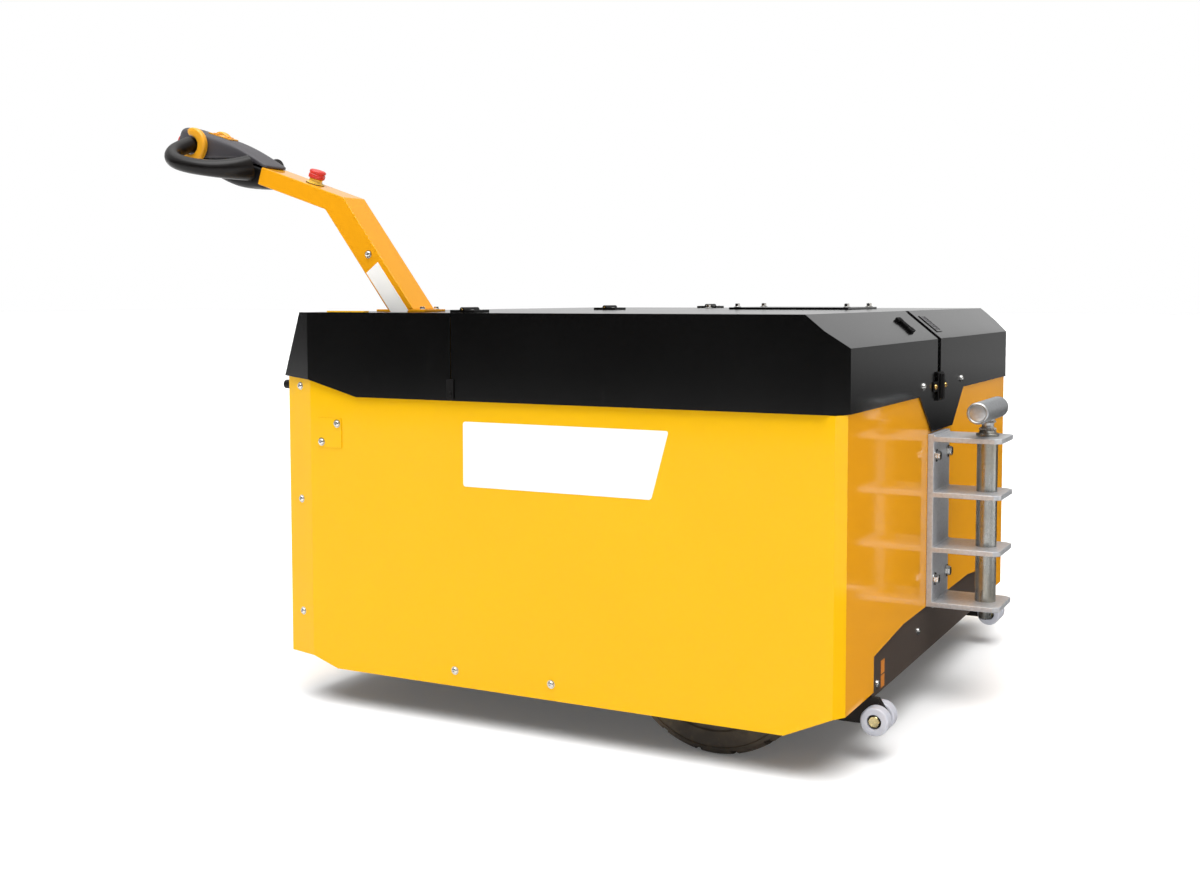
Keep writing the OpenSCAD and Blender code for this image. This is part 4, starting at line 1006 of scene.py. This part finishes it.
    def screws(self) -> Object:
        """Builds the domed bolts of the lid's flange and the cap screws of its plates.

        Returns:
            The piece.
        """
        shape = Shape().dome_bolts(*(facing(Axis.X, (self.front, *spot)) for spot in self.flange_bolts))
        spots = [(x, y, self.top + self.plate_t) for x in self.plate_x for y in self.plate_y]
        spots.append((*self.pad_spot, self.top))
        shape.hex_bolts(self.cap_screw, *(facing(Axis.Z, spot) for spot in spots))
        return self.piece(shape, STEEL, "lid_bolts")

    def latch_screws(self) -> Object:
        """Builds the two brass screws on the latch's ears.

        Returns:
            The piece.
        """
        spots = [(self.front + self.ear_t, self.slot_y + step, self.latch_z) for step in self.ears_y]
        places = [facing(Axis.X, spot) for spot in spots]
        shape = Shape().turn(self.latch_screw, 24, *places)
        return self.piece(shape, BRASS, name="latch_screws", body="lid")


@dataclass
class Hitch(Assembly):
    """Plate with four shelves, its bolts, welds, pin and T-handle."""

    plate_x: float = 587.5
    weld_ends: Point = (-99, 25)
    weld_proud: float = 0.6
    weld_r: float = 2.4
    shelf_tops: Point = (533, 424, 315, 206)
    shelf_t: float = 10
    bolt: Point = (9.5, 7.5, 13, 2.5)
    bolt_spots: Line = ((-85, 250), (-85, 495), (11, 250), (11, 495))
    pin_x: float = 677
    pin_y: float = -37
    pin_line: Line = ((0, 169), (8, 169), (11, 170.2), (12.2, 173), (12.2, 194), (13.4, 196), (20, 196),
                      (20, 533), (21.6, 533.4), (22.2, 534.6), (22.2, 537), (21, 538.4), (17, 539.5),
                      (15, 545), (0, 545))
    neck_z: float = 545
    neck: Line = ((0, 0), (14, 0), (13.4, 3), (11.8, 7), (11.6, 11), (12.8, 16), (14, 22), (14, 39),
                  (0, 39))
    neck_beads: int = 18
    neck_shift: float = 1.7
    neck_welds: Line = ((547, 14.4, 2.6), (562, 13.6, 2.2))
    tee_z: float = 584
    tee_half: float = 96
    tee_end: Line = ((0, 1.6), (8, 1.3), (14.6, 1.8), (15.6, 2.6), (16.4, 1.8), (17.8, 0), (19.4, 0.5),
                     (20.6, 1.8), (21, 4))

    def build(self) -> list[Object]:
        """Builds the bracket and the pin.

        Returns:
            The pieces.
        """
        return self.rounded(("hitch_bracket", BRACKET, 1.4, 1.4)) + [
            self.welds(), self.bolts(), self.pin(), self.handle(), self.handle_welds(),
        ]

    def welds(self) -> Object:
        """Builds the beads above and below each shelf.

        Returns:
            The piece.
        """
        shape = Shape()
        for index, top in enumerate(self.shelf_tops):
            for z in (top, top - self.shelf_t):
                ends = (Vector((self.plate_x + self.weld_proud, y, z)) for y in self.weld_ends)
                shape.bead(*ends, self.weld_r, index + z)
        return self.piece(shape.outward(), BRACKET, name="hitch_welds", body="base")

    def bolts(self) -> Object:
        """Builds the four big bolts of the plate."""
        places = [facing(Axis.X, (self.plate_x, *spot)) for spot in self.bolt_spots]
        return self.piece(Shape().hex_bolts(self.bolt, *places), STEEL, "hitch_bolts")

    def pin(self) -> Object:
        """Builds the pin with its tapered foot and its collar."""
        place = facing(Axis.Z, (self.pin_x, self.pin_y, 0))
        return self.piece(Shape().turn(self.pin_line, 64, place).outward(), BRIGHT, "hitch_pin")

    def handle(self) -> Object:
        """Builds the T-handle: a thick tube with ground end plugs on a waisted neck.

        Returns:
            The piece.
        """
        base = (self.pin_x, self.pin_y - self.tee_half, self.tee_z)
        shape = Shape().turn(twice(self.tee_end, 2 * self.tee_half), 64, facing(Axis.Y, base))
        shape.turn(self.neck, 40, facing(Axis.Z, (self.pin_x, self.pin_y, self.neck_z)))
        return self.piece(shape.outward(), ZINC, "pin_handle")

    def handle_welds(self) -> Object:
        """Builds the weld rings at both ends of the neck.

        Returns:
            The piece.
        """
        shape = Shape()
        angles = [math.tau * k / self.neck_beads for k in range(self.neck_beads + 1)]
        for z, radius, thick in self.neck_welds:
            rim = [Vector((self.pin_x + x, self.pin_y + y, z)) for x, y in polar(radius, angles)]
            for k, ends in enumerate(zip(rim, rim[1:])):
                shape.bead(*ends, thick, k * self.neck_shift)
        return self.piece(shape.outward(), WELD, name="pin_welds", body="pin")


@dataclass
class Rollers(Assembly):
    """Four nylon rollers on the front lugs, with their axle bolts."""

    x: float = 587
    z: float = 73
    lug_y: float = 463
    near: float = 6.3
    recess: float = 18
    head_y: float = 24.6
    bolt: Point = (10.4, 7.0, 0, 0)
    shank: Line = ((0, -26), (5.9, -26), (5.9, 26), (0, 26))
    washer: Line = ((6.02, 0.05), (12.1, 0.05), (12.3, 0.3), (12.1, 0.6), (6.02, 0.6), (6.02, 0.05))
    section: Line = ((6.06, 0), (21.5, 0), (23.2, 0.4), (24.5, 1.6), (25, 3.4), (25, 22.6), (24.5, 24.4),
                     (23.2, 25.6), (21.5, 26), (14.2, 26), (13, 25.6), (12.5, 24.6), (12.5, 18),
                     (6.06, 18), (6.06, 0))

    def build(self) -> list[Object]:
        """Builds lugs, rollers and bolts.

        Returns:
            The pieces.
        """
        return self.rounded(("roller_lugs", FRAME, 1.0, 1.0)) + [self.bolts(), self.washers()] + [
            self.roller(side, place, sign) for side in Side for place, sign in (("outer", 1), ("inner", -1))
        ]

    def beside(self, off: float, side: int = 1) -> list[Matrix]:
        """Places on both flanks of a side's lug, the inner one first."""
        spots = [(way, (self.x, side * self.lug_y + way * off, self.z)) for way in (-1, 1)]
        return [facing(Axis.Y, spot, way) for way, spot in spots]

    def roller(self, side: Side, place: str, sign: int) -> Object:
        """Builds one roller with rounded rims and a recess for its bolt.

        Args:
            side: The side that it is on.
            place: Its place in the CAD node's name.
            sign: 1 outside the lug, -1 inside it.

        Returns:
            The piece.
        """
        spot = self.beside(self.near, side.value)[side.value * sign > 0]
        shape = Shape().turn(self.section, 64, spot).outward()
        return self.piece(shape, NYLON, f"roller_{side.word}_{place}")

    def bolts(self) -> Object:
        """Builds the axle bolts with a head at each end.

        Returns:
            The piece.
        """
        shape = Shape().hex_bolts(self.bolt, *self.beside(self.head_y))
        shape.turn(self.shank, 24, facing(Axis.Y, (self.x, self.lug_y, self.z))).outward()
        return self.piece(shape.mirrored(), PASSIVE, "roller_bolts")

    def washers(self) -> Object:
        """Builds the dark rubber washers under the axle bolts' heads."""
        shape = Shape().turn(self.washer, 40, *self.beside(self.near + self.recess)).outward()
        return self.piece(shape.mirrored(), SEAL, name="roller_washers", body="base")


@dataclass
class Drive(Assembly):
    """Drive wheels with their gearboxes and motors."""

    x: float = 322
    radius: float = 181
    face_y: float = 585
    width: float = 100
    nut_count: int = 5
    nuts_r: float = 70
    nut: Point = (10, 9, 13, 2)
    half: Line = ((122, 0), (128, 0.4), (131, 3), (134, 3.6), (137, 1), (150, 0), (162, 1.6), (164, 3),
                  (166, 1.6), (172, 4.4), (176.5, 8.6), (179.8, 15), (181, 24), (181, 38))
    groove: float = 6
    shoulder: float = 24
    tread: float = 38
    steps: int = 96
    pitch: int = 6
    outer_reach: float = 10
    middle_reach: float = 2

    def build(self) -> list[Object]:
        """Builds both wheels and dresses what drives them.

        Returns:
            The pieces.
        """
        made = self.dress(("gearboxes", IRON), ("drive_motors", ENAMEL))
        for side in Side:
            made += self.rounded((f"rim_{side.word}", IRON, 1.5, 1.5)) + [self.nuts(side), self.tyre(side)]
        return made

    def nuts(self, side: Side) -> Object:
        """Builds the five wheel nuts.

        Args:
            side: The wheel's side.

        Returns:
            The nuts.
        """
        y = side.value * (self.face_y - self.width / 2)
        turns = polar(self.nuts_r, (math.tau * k / self.nut_count for k in range(self.nut_count)))
        spots = [(self.x + x, y, self.radius + z) for x, z in turns]
        shape = Shape().hex_bolts(self.nut, *(facing(Axis.Y, spot, side.value) for spot in spots))
        return self.piece(shape, STEEL, name=f"wheel_nuts_{side.word}", body=f"drive_wheel_{side.word}")

    def grooved(self, face: bmesh.types.BMFace) -> bool:
        """Tells whether a face of the tyre is the floor of a groove.

        Args:
            face: The face, with the tyre's axis along z.

        Returns:
            True at one step of each pitch, which differs between the tyre's two halves.
        """
        spot = face.calc_center_median()
        step = int(math.floor(math.atan2(spot.y, spot.x) / math.tau * self.steps)) % self.pitch
        reach, deep = math.hypot(spot.x, spot.y), min(spot.z, self.width - spot.z)
        outer = reach > self.radius - self.outer_reach and deep < self.shoulder
        middle = reach > self.radius - self.middle_reach and self.shoulder < deep < self.tread
        return step == (0 if spot.z < self.width / 2 else self.pitch // 2) and (outer or middle)

    def tyre(self, side: Side) -> Object:
        """Builds a solid tyre with a moulded sidewall and cross grooves in its tread.

        Args:
            side: The wheel's side.

        Returns:
            The tyre.
        """
        shape = Shape().turn([*twice(self.half, self.width), self.half[0]], self.steps, Matrix())
        chosen = [face for face in shape.bm.faces if self.grooved(face)]
        made = bmesh.ops.extrude_face_region(shape.bm, geom=chosen)["geom"]
        bmesh.ops.delete(shape.bm, geom=chosen, context="FACES")
        sunk = (self.radius - self.groove) / self.radius
        bmesh.ops.scale(shape.bm, vec=(sunk, sunk, 1), verts=corners(made))
        place = facing(Axis.Y, (self.x, side.value * (self.face_y - self.width), self.radius), side.value)
        return self.piece(shape.moved(place).outward(), TYRE, f"tyre_{side.word}", angle=34)


@dataclass
class Castors(Assembly):
    """Swivelling wheels under the handle end."""

    x: float = -440
    y: float = 300
    radius: float = 100
    band_w: float = 50
    band_steps: int = 72
    band: Line = ((78, 3), (92, 3), (96.5, 5), (99.2, 9.5), (100, 16))
    core_w: float = 56
    core_steps: int = 60
    core: Line = ((8.06, 0), (12, 0), (13, 0.6), (26, 1), (27, 2.5), (27, 13), (66, 15), (70, 7), (72, 5.5),
                  (78.4, 5.5))

    def build(self) -> list[Object]:
        """Builds both castors: fork, rubber band, and dished centre with its hub.

        Returns:
            The pieces.
        """
        made = self.dress(("castor_plates", ZINC))
        for side in Side:
            body = f"castor_wheel_{side.word}"
            band = self.wheel(side, self.band, self.band_w, self.band_steps)
            core = self.wheel(side, self.core, self.core_w, self.core_steps)
            made += self.rounded((f"castor_fork_{side.word}", ZINC, 1.2, 1.2))
            made.append(self.piece(band, TYRE, body, f"castor_band_{side.word}"))
            made.append(self.piece(core, IRON, name=f"castor_core_{side.word}", body=body))
        return made

    def wheel(self, side: Side, half: Line, width: float, steps: int) -> Shape:
        """Turns a part of a castor's wheel from half its section, in steps round the axis."""
        base = (self.x, side.value * self.y - width / 2, self.radius)
        return Shape().turn([*twice(half, width), half[0]], steps, facing(Axis.Y, base)).outward()


@dataclass
class Power(Assembly):
    """Chassis tub with batteries, controller and charger."""

    boot_x: Point = (150, 494)
    boot_y: Point = (37, 149)
    battery_top: float = 461
    boot: Line = ((0, 0), (13, 0), (13, 3), (11.5, 5), (11, 15), (9, 17.5), (0, 18))

    def build(self) -> list[Object]:
        """Dresses the tub and builds what stands in it, with rubber boots on the terminals.

        Returns:
            The pieces.
        """
        places = [facing(Axis.Z, (x, y, self.battery_top)) for x in self.boot_x for y in self.boot_y]
        boots = Shape().turn(self.boot, 24, *places).mirrored().outward()
        return self.rounded(("batteries", CASE, 3, 1.2, 7), ("charger", IRON, 2, 1, 7)) + self.dress(
            ("chassis", FRAME), ("controller", FINS), ("tiller_bearing", IRON)
        ) + [self.piece(boots, RED, name="terminal_boots", body="base")]


@dataclass
class Tiller(Assembly):
    """Steering arm on its foot, with the stop button and a bare label."""

    x: float = -354
    y: float = -519.5
    arm_w: float = 72
    foot_z: float = 783.3
    foot_bolt: Point = (5.3, 4, 6.5, 1.2)
    foot_bolts: Line = ((44, -24), (44, 24))
    side_bolt: Point = (-76, 109)
    label_t: float = 0.5
    lean: float = 37
    foot_front: Point = (-322, 783.3)
    label_corners: Line = ((6, 12), (125.7, 12), (125.7, 47), (6, 47))
    arm_end: Point = (-705.4, 1059.05)
    slope: float = 18.3
    stop_at: Point = (116, 0, 18.25)
    collar: Line = ((6.06, 0), (17.6, 0), (18.4, 0.6), (18.4, 2.2), (17.2, 3), (14.6, 3.6), (13.4, 6),
                    (13.2, 9), (13.8, 10.4), (12.8, 11), (6.06, 11), (6.06, 0))
    ring: Line = ((18, 0), (18.5, 0), (19.4, 0.5), (18.6, 1.2), (18, 1.2), (18, 0))
    cap: Line = ((0, 4.4), (5.9, 4.4), (5.9, 15.3), (14.5, 15.3), (14.5, 11.8), (16.2, 11.8), (16.9, 13),
                 (17, 18.4), (16.2, 19.8), (15.4, 20.8), (15.8, 22), (16.9, 23), (17, 25), (16.2, 27),
                 (14, 28.4), (10, 29), (0, 29.2))

    @property
    def on_arm(self) -> Matrix:
        """Frame of the arm's end: x towards the elbow, z square to the arm."""
        x, z = self.arm_end
        return Matrix.Translation((x, self.y, z)) @ spin(self.slope, "Y")

    def build(self) -> list[Object]:
        """Builds the arm and the stop button: yellow collar, dark seal ring and two-tier red cap.

        Returns:
            The pieces.
        """
        place = self.on_arm @ Matrix.Translation(self.stop_at)
        lines = (self.collar, self.ring, self.cap)
        collar, ring, cap = (Shape().turn(line, 48, place).outward() for line in lines)
        return self.rounded(
            # The foot and arm take the shaded copy of the yellow paint: painted shade.
            ("tiller_foot", SHADED_YELLOW, 1, 0.8, 4), ("tiller_arm", SHADED_YELLOW, 2.4, 1, 4),
        ) + [
            self.bolts(), self.label(), self.piece(collar, LEMON, "stop_collar"),
            self.piece(ring, SEAL, name="stop_ring", body="tiller"), self.piece(cap, RED, "stop_button"),
        ]

    def bolts(self) -> Object:
        """Builds the foot's bolts and the one on the arm's side.

        Returns:
            The piece.
        """
        places = [facing(Axis.Z, (self.x + x, self.y + y, self.foot_z)) for x, y in self.foot_bolts]
        x, z = self.side_bolt
        on_side = facing(Axis.Y, (self.x + x, self.y - self.arm_w / 2, self.foot_z + z), -1)
        shape = Shape().hex_bolts(self.foot_bolt, *places).dome_bolts(on_side)
        return self.piece(shape, STEEL, "tiller_bolts")

    def label(self) -> Object:
        """Builds the bare label on the arm's right face.

        Returns:
            The piece.
        """
        up = Vector((-math.sin(math.radians(self.lean)), math.cos(math.radians(self.lean))))
        across = Vector((-up.y, up.x))
        spots = [Vector(self.foot_front) + up * a + across * b for a, b in self.label_corners]
        shape = Shape().plate(spots, self.y - self.arm_w / 2, -self.label_t).outward()
        return self.piece(shape, LABEL, name="tiller_label", body="tiller")


@dataclass
class Head(Assembly):
    """Control head: two shells, the grip loops, thumb wings, rocker and nose button."""

    tiller: Tiller = field(default_factory=Tiller)
    hub: Point = (-190, 0, 11)
    hub_half: float = 55
    tube: float = 16.5
    leg: float = 24
    corner: float = 45
    sweep: float = 122
    sweep_deg: float = 72
    droop: float = 26
    root: float = 6
    arc_steps: int = 16
    swell_from: float = 0.25
    swell: Point = (0.25, 0.75)
    swell_drop: float = 0.95
    wing: Point = (28.6, 7.6, 9.8)
    wing_y: float = 41.8
    wing_half: float = 130
    wing_steps: int = 28
    wing_taper: float = 9
    wing_least: float = 0.02
    squared: float = 0.5
    rocker_at: Point = (-150, 0, 45.6)
    rocker_lean: float = -1.8
    ribs_x: Point = (-19, -13, 13, 19)
    rib_low: Point = (-1.1, -10, 1.3)
    rib_high: Point = (1.1, 10, 3.0)
    rib_edge: float = 0.6
    top_line: Line = ((-250, 34), (-243, 41), (-222, 43), (-200, 43.4), (-150, 45), (-110, 45.6), (-75, 42),
                      (-40, 36.5), (12, 24.4))
    split_line: Line = ((-250, -7.4), (-175, -13.8), (-125, 0), (-70, 17.5), (-25, 18.6), (12, 18.5))
    split_gap: float = 1.2
    squareness: Point = (0.3, 0.55)
    lower_proud: float = 0.6
    low_line: Line = ((-178, -14), (-150, -28.5), (-105, -39.6), (-50, -41.4), (12, -24.4))
    plan: Line = ((-250, 22), (-240, 27), (-215, 32), (-190, 34), (12, 34))
    upper_x: Point = (-250, -246, -238, -222, -200, -175, -150, -125, -100, -75, -50, -25, 0, 12)
    lower_x: Point = (-178, -172, -160, -140, -115, -90, -60, -30, 0, 12)

    def build(self) -> list[Object]:
        """Builds the head.

        Returns:
            The pieces.
        """
        below = [(x, z - self.split_gap) for x, z in self.split_line]
        upper = self.shell(self.upper_x, self.split_line, self.top_line, self.squareness, 0)
        lower = self.shell(self.lower_x, self.low_line, below, self.squareness[::-1], self.lower_proud)
        rows = ((upper, GREY, "head_upper"), (lower, DARK, "head_lower"))
        shells = [self.piece(*row, angle=60) for row in rows]
        for made in shells:
            made.modifiers.clear()
            smooth = made.modifiers.new("smooth", "SUBSURF")
            smooth.levels = smooth.render_levels = 2
        return shells + [self.grips(), self.wings(), self.rocker_ribs()] + self.rounded(
            ("belly_button", RED, 1.6, 1.6, 1), ("rocker", WING, 1.4, 1.4, 1)
        )

    def shell(self, stations: Point, low: Line, high: Line, squareness: Point, grow: float) -> Shape:
        """Lofts one shell through stations along the head.

        Args:
            stations: Places from the nose to the arm.
            low: Line of its lower side.
            high: Line of its upper side.
            squareness: That of the section's lower and upper half, 1 for a circle.
            grow: How far the flanks stand proud.

        Returns:
            The shell.
        """
        def warp(index: int, point: Vector) -> Vector:
            """Moves one corner of a unit circle onto the section at its station.

            Args:
                index: The station's index.
                point: The corner.

            Returns:
                The moved corner.
            """
            x, squared = stations[index], squareness[point.y > 0]
            top, bottom, width = along(high, x), along(low, x), along(self.plan, x) + grow
            z = (top + bottom) / 2 + (top - bottom) / 2 * power(point.y, squared)
            return Vector((x, width * power(point.x, squared), z))

        return Shape().loft([self.tiller.on_arm] * len(stations), 28, warp).outward()

    def ring(self, radius: float, angle: float, share: float = 0.0) -> Matrix:
        """Places one circle of a grip loop.

        Args:
            radius: Radius of the arc that it is on.
            angle: Degrees that the loop has turned by.
            share: How far it is along the long arc, on which the loop thickens.

        Returns:
            The circle's matrix.
        """
        late = max(0.0, share - self.swell_from) / (1 - self.swell_from)
        wide, tall = self.tube * (1 + self.swell[0] * late), self.tube * (1 + self.swell[1] * late * late)
        x = self.corner - radius * math.cos(math.radians(angle))
        y = self.leg + self.corner - radius + radius * math.sin(math.radians(angle))
        spot = Matrix.Translation((x, y, -self.swell_drop * (tall - self.tube)))
        return spot @ spin(-angle, "Z") @ spin(-90, "X") @ Matrix.Diagonal((wide, tall, wide, 1))

    def grips(self) -> Object:
        """Builds the hub tube and both loops, which thicken into the lower shell.

        Returns:
            The piece.
        """
        starts = (-self.leg - self.root, -self.leg, -self.leg / 2, 0)
        rings = [Matrix.Translation((0, y, 0)) @ self.ring(self.corner, 0) for y in starts]
        rings += [self.ring(self.corner, 10 * k) for k in range(1, 10)]
        shares = [k / self.arc_steps for k in range(1, self.arc_steps + 1)]
        rings += [self.ring(self.sweep, 90 + self.sweep_deg * share, share) for share in shares]
        place = Matrix.Translation((0, self.hub_half, 0)) @ spin(-self.droop, "X")
        shape = Shape().loft(rings, 28).moved(Matrix.Translation(self.hub) @ place).mirrored()
        half = self.hub_half
        tube = ((0, -half), (self.tube, -half), (self.tube, half), (0, half))
        shape.turn(tube, 32, facing(Axis.Y, self.hub))
        return self.piece(shape.moved(self.tiller.on_arm).outward(), GRIP, "grips", angle=60)

    def wings(self) -> Object:
        """Builds the two thumb wings, bent round the hub and open to the nose.

        Returns:
            The piece.
        """
        radius, wide, thick = self.wing
        hub = Matrix.Translation(self.hub)
        rings = []
        for k in range(self.wing_steps + 1):
            share = 2 * k / self.wing_steps - 1
            slim = math.sqrt(max(self.wing_least, 1 - abs(share) ** self.wing_taper))
            turn = spin(-self.wing_half * share, "Y")
            place = turn @ Matrix.Translation((radius, self.wing_y, 0))
            rings.append(hub @ place @ Matrix.Diagonal((thick * slim, wide * slim, 1, 1)))
        shape = Shape().loft(rings, 20, lambda index, p: Vector([power(v, self.squared) for v in p.xy]).to_3d())
        shape.mirrored().moved(self.tiller.on_arm).outward()
        return self.piece(shape, WING, "throttle", angle=60)

    def rocker_ribs(self) -> Object:
        """Builds the ribs on the rocker.

        Returns:
            The piece.
        """
        shape = Shape()
        place = self.tiller.on_arm @ Matrix.Translation(self.rocker_at) @ spin(self.rocker_lean, "Y")
        for x in self.ribs_x:
            step = Vector((x, 0, 0))
            shape.block(Vector(self.rib_low) + step, Vector(self.rib_high) + step, self.rib_edge, place)
        return self.piece(shape, WING, name="rocker_ribs", body="rocker")


@dataclass
class Studio:
    """Camera at the photograph's place, floor, world and lamps. Its lengths are metres."""

    camera_at: Point = (1.3781, -2.8255, 0.8069)
    yaw: float = 27.61
    pitch: float = -3.6
    roll: float = -0.1
    focal: float = 1400.66
    centre: Point = (592.38, 385.08)
    photo: Point = (1200, 895)
    sensor: float = 36.0
    view_end: float = 200
    floor_size: float = 60.0
    floor_z: float = -0.0005
    floor_shade: Colour = (0.93, 0.93, 0.93)
    floor_glow: float = 0.09
    sky: float = 0.26
    mirrored_sky: float = 0.8
    lamps: Sequence[tuple] = (
        ("key", 2.75, 50, (0.2, -0.52, 1.3), WHITE), ("top", 1.6, 80, (0.0, 0.0, 1.0), WHITE),
        ("fill", 0.1, 60, (1.0, 0.1, 0.6), (1.0, 0.62, 0.3)),
    )
    cards: Sequence[tuple] = (
        ("card_beside_hitch", (6, -6, 0), (0, 5.5, 0), (0, 0, 2), (0.0, 2.0), (0.01, 0.02)),
        ("card_behind_camera", (-14, -6, 0), (21, 0, 0), (0, 0, 3.5), (0.0, 3.5), (0.004, 0.01)),
        ("card_beyond_hitch", (0.7, 0.8, 0), (5.3, 1.6, 0), (0, 0, 2.2), (0.46, 0.64), (0.03, 0.3)),
        ("card_below_hitch", (0.66, -0.75, 0.003), (1.54, 0, 0), (0, 1.65, 0), (0.0, 1.0), (0.09, 0.09)),
    )

    def build(self) -> None:
        """Makes everything that isn't part of the object."""
        bpy.context.scene.view_settings.view_transform = "Standard"
        self.camera()
        self.floor()
        self.world()
        for row in self.lamps:
            self.lamp(*row)
        for row in self.cards:
            self.card(*row)

    def camera(self) -> None:
        """Makes the camera from the measured lens and direction."""
        data = bpy.data.cameras.new("camera")
        wide, high = self.photo
        data.sensor_width = self.sensor
        data.lens = self.focal * self.sensor / wide
        data.shift_x, data.shift_y = (wide / 2 - self.centre[0]) / wide, (self.centre[1] - high / 2) / wide
        data.clip_end = self.view_end
        made = added("camera", data)
        turn = spin(self.yaw, "Z") @ spin(90 + self.pitch, "X")
        made.matrix_world = Matrix.Translation(self.camera_at) @ turn @ spin(self.roll, "Z")
        bpy.context.scene.camera = made

    def floor(self) -> None:
        """Makes the pale floor, which keeps the object's shadow."""
        size = self.floor_size
        graph = Graph(bpy.data.materials.new("studio_floor"))
        camera, gloss, glass = graph.rays()
        direct = graph.node("Math", {0: camera + gloss + glass, 1: 1.0}, operation="MINIMUM")
        lit = graph.node("BsdfDiffuse", {"Color": self.floor_shade})
        glow = graph.node("Emission", {"Color": WHITE, "Strength": direct * self.floor_glow})
        material = graph.end(graph.node("AddShader", {0: lit, 1: glow}))
        made = self.stage("floor", (-size, -size, 0), (2 * size, 0, 0), (0, 2 * size, 0), material)
        made.location.z = self.floor_z

    def card(self, name: str, at: Point, wide: Point, high: Point, rise: Point, light: Point) -> None:
        """Makes a grey card that only glossy surfaces see.

        Args:
            name: Its name.
            at: Its first corner.
            wide: Its first side.
            high: Its second side.
            rise: Heights between which it turns from its first to its second light.
            light: The two lights.
        """
        graph = Graph(bpy.data.materials.new(name))
        height = graph.node("SeparateXYZ", {"Vector": graph.place}, "Z")
        strength = height.between(*rise) * (light[1] - light[0]) + light[0]
        material = graph.end(graph.node("Emission", {"Color": WHITE, "Strength": strength}))
        made = self.stage(name, at, wide, high, material)
        for ray in ("camera", "diffuse", "shadow", "transmission"):
            setattr(made, "visible_" + ray, False)

    def stage(self, name: str, at: Point, wide: Point, high: Point, material: bpy.types.Material) -> Object:
        """Adds one flat face that isn't part of the object.

        Args:
            name: Its name.
            at: Its first corner.
            wide: Its first side.
            high: Its second side.
            material: Its material.

        Returns:
            The face's object.
        """
        mesh = bpy.data.meshes.new(name)
        first, side, rise = Vector(at), Vector(wide), Vector(high)
        mesh.from_pydata([first, first + side, first + side + rise, first + rise], [], [(0, 1, 2, 3)])
        mesh.materials.append(material)
        made = added(name, mesh)
        return made

    def world(self) -> None:
        """Makes the sky: soft light for the object, white for what sees it."""
        graph = Graph(bpy.data.worlds.new("studio"))
        camera, gloss, glass = graph.rays()
        direct = graph.node("Math", {0: camera, 1: glass}, operation="MAXIMUM")
        strength = direct * (1.0 - self.sky) + gloss * (self.mirrored_sky - self.sky) + self.sky
        back = graph.node("Background", {"Color": WHITE, "Strength": strength})
        bpy.context.scene.world = graph.end(back, "OutputWorld")

    def lamp(self, name: str, strength: float, spread: float, towards: Point, colour: Colour) -> None:
        """Makes a wide sun lamp.

        Args:
            name: Its name.
            strength: Its strength.
            spread: How wide its disc is.
            towards: Direction from the object to the lamp.
            colour: Its colour.
        """
        data = bpy.data.lights.new(name, "SUN")
        data.color, data.energy, data.angle = colour, strength, math.radians(spread)
        made = added(name, data)
        made.rotation_mode = "QUATERNION"
        made.rotation_quaternion = Vector(towards).to_track_quat("Z", "Y")


def main() -> None:
    """Builds the studio and every sub-assembly, and logs each piece."""
    logging.basicConfig(level=logging.INFO, format="%(name)s: %(message)s")
    Studio().build()
    for group in (Hull(), Covers(), Hitch(), Rollers(), Drive(), Castors(), Power(), Tiller(), Head()):
        for made in group.build():
            LOG.info("%s: %s, %d faces", type(group).__name__, made.name, len(made.data.polygons))


if __name__ == "__main__":
    main()
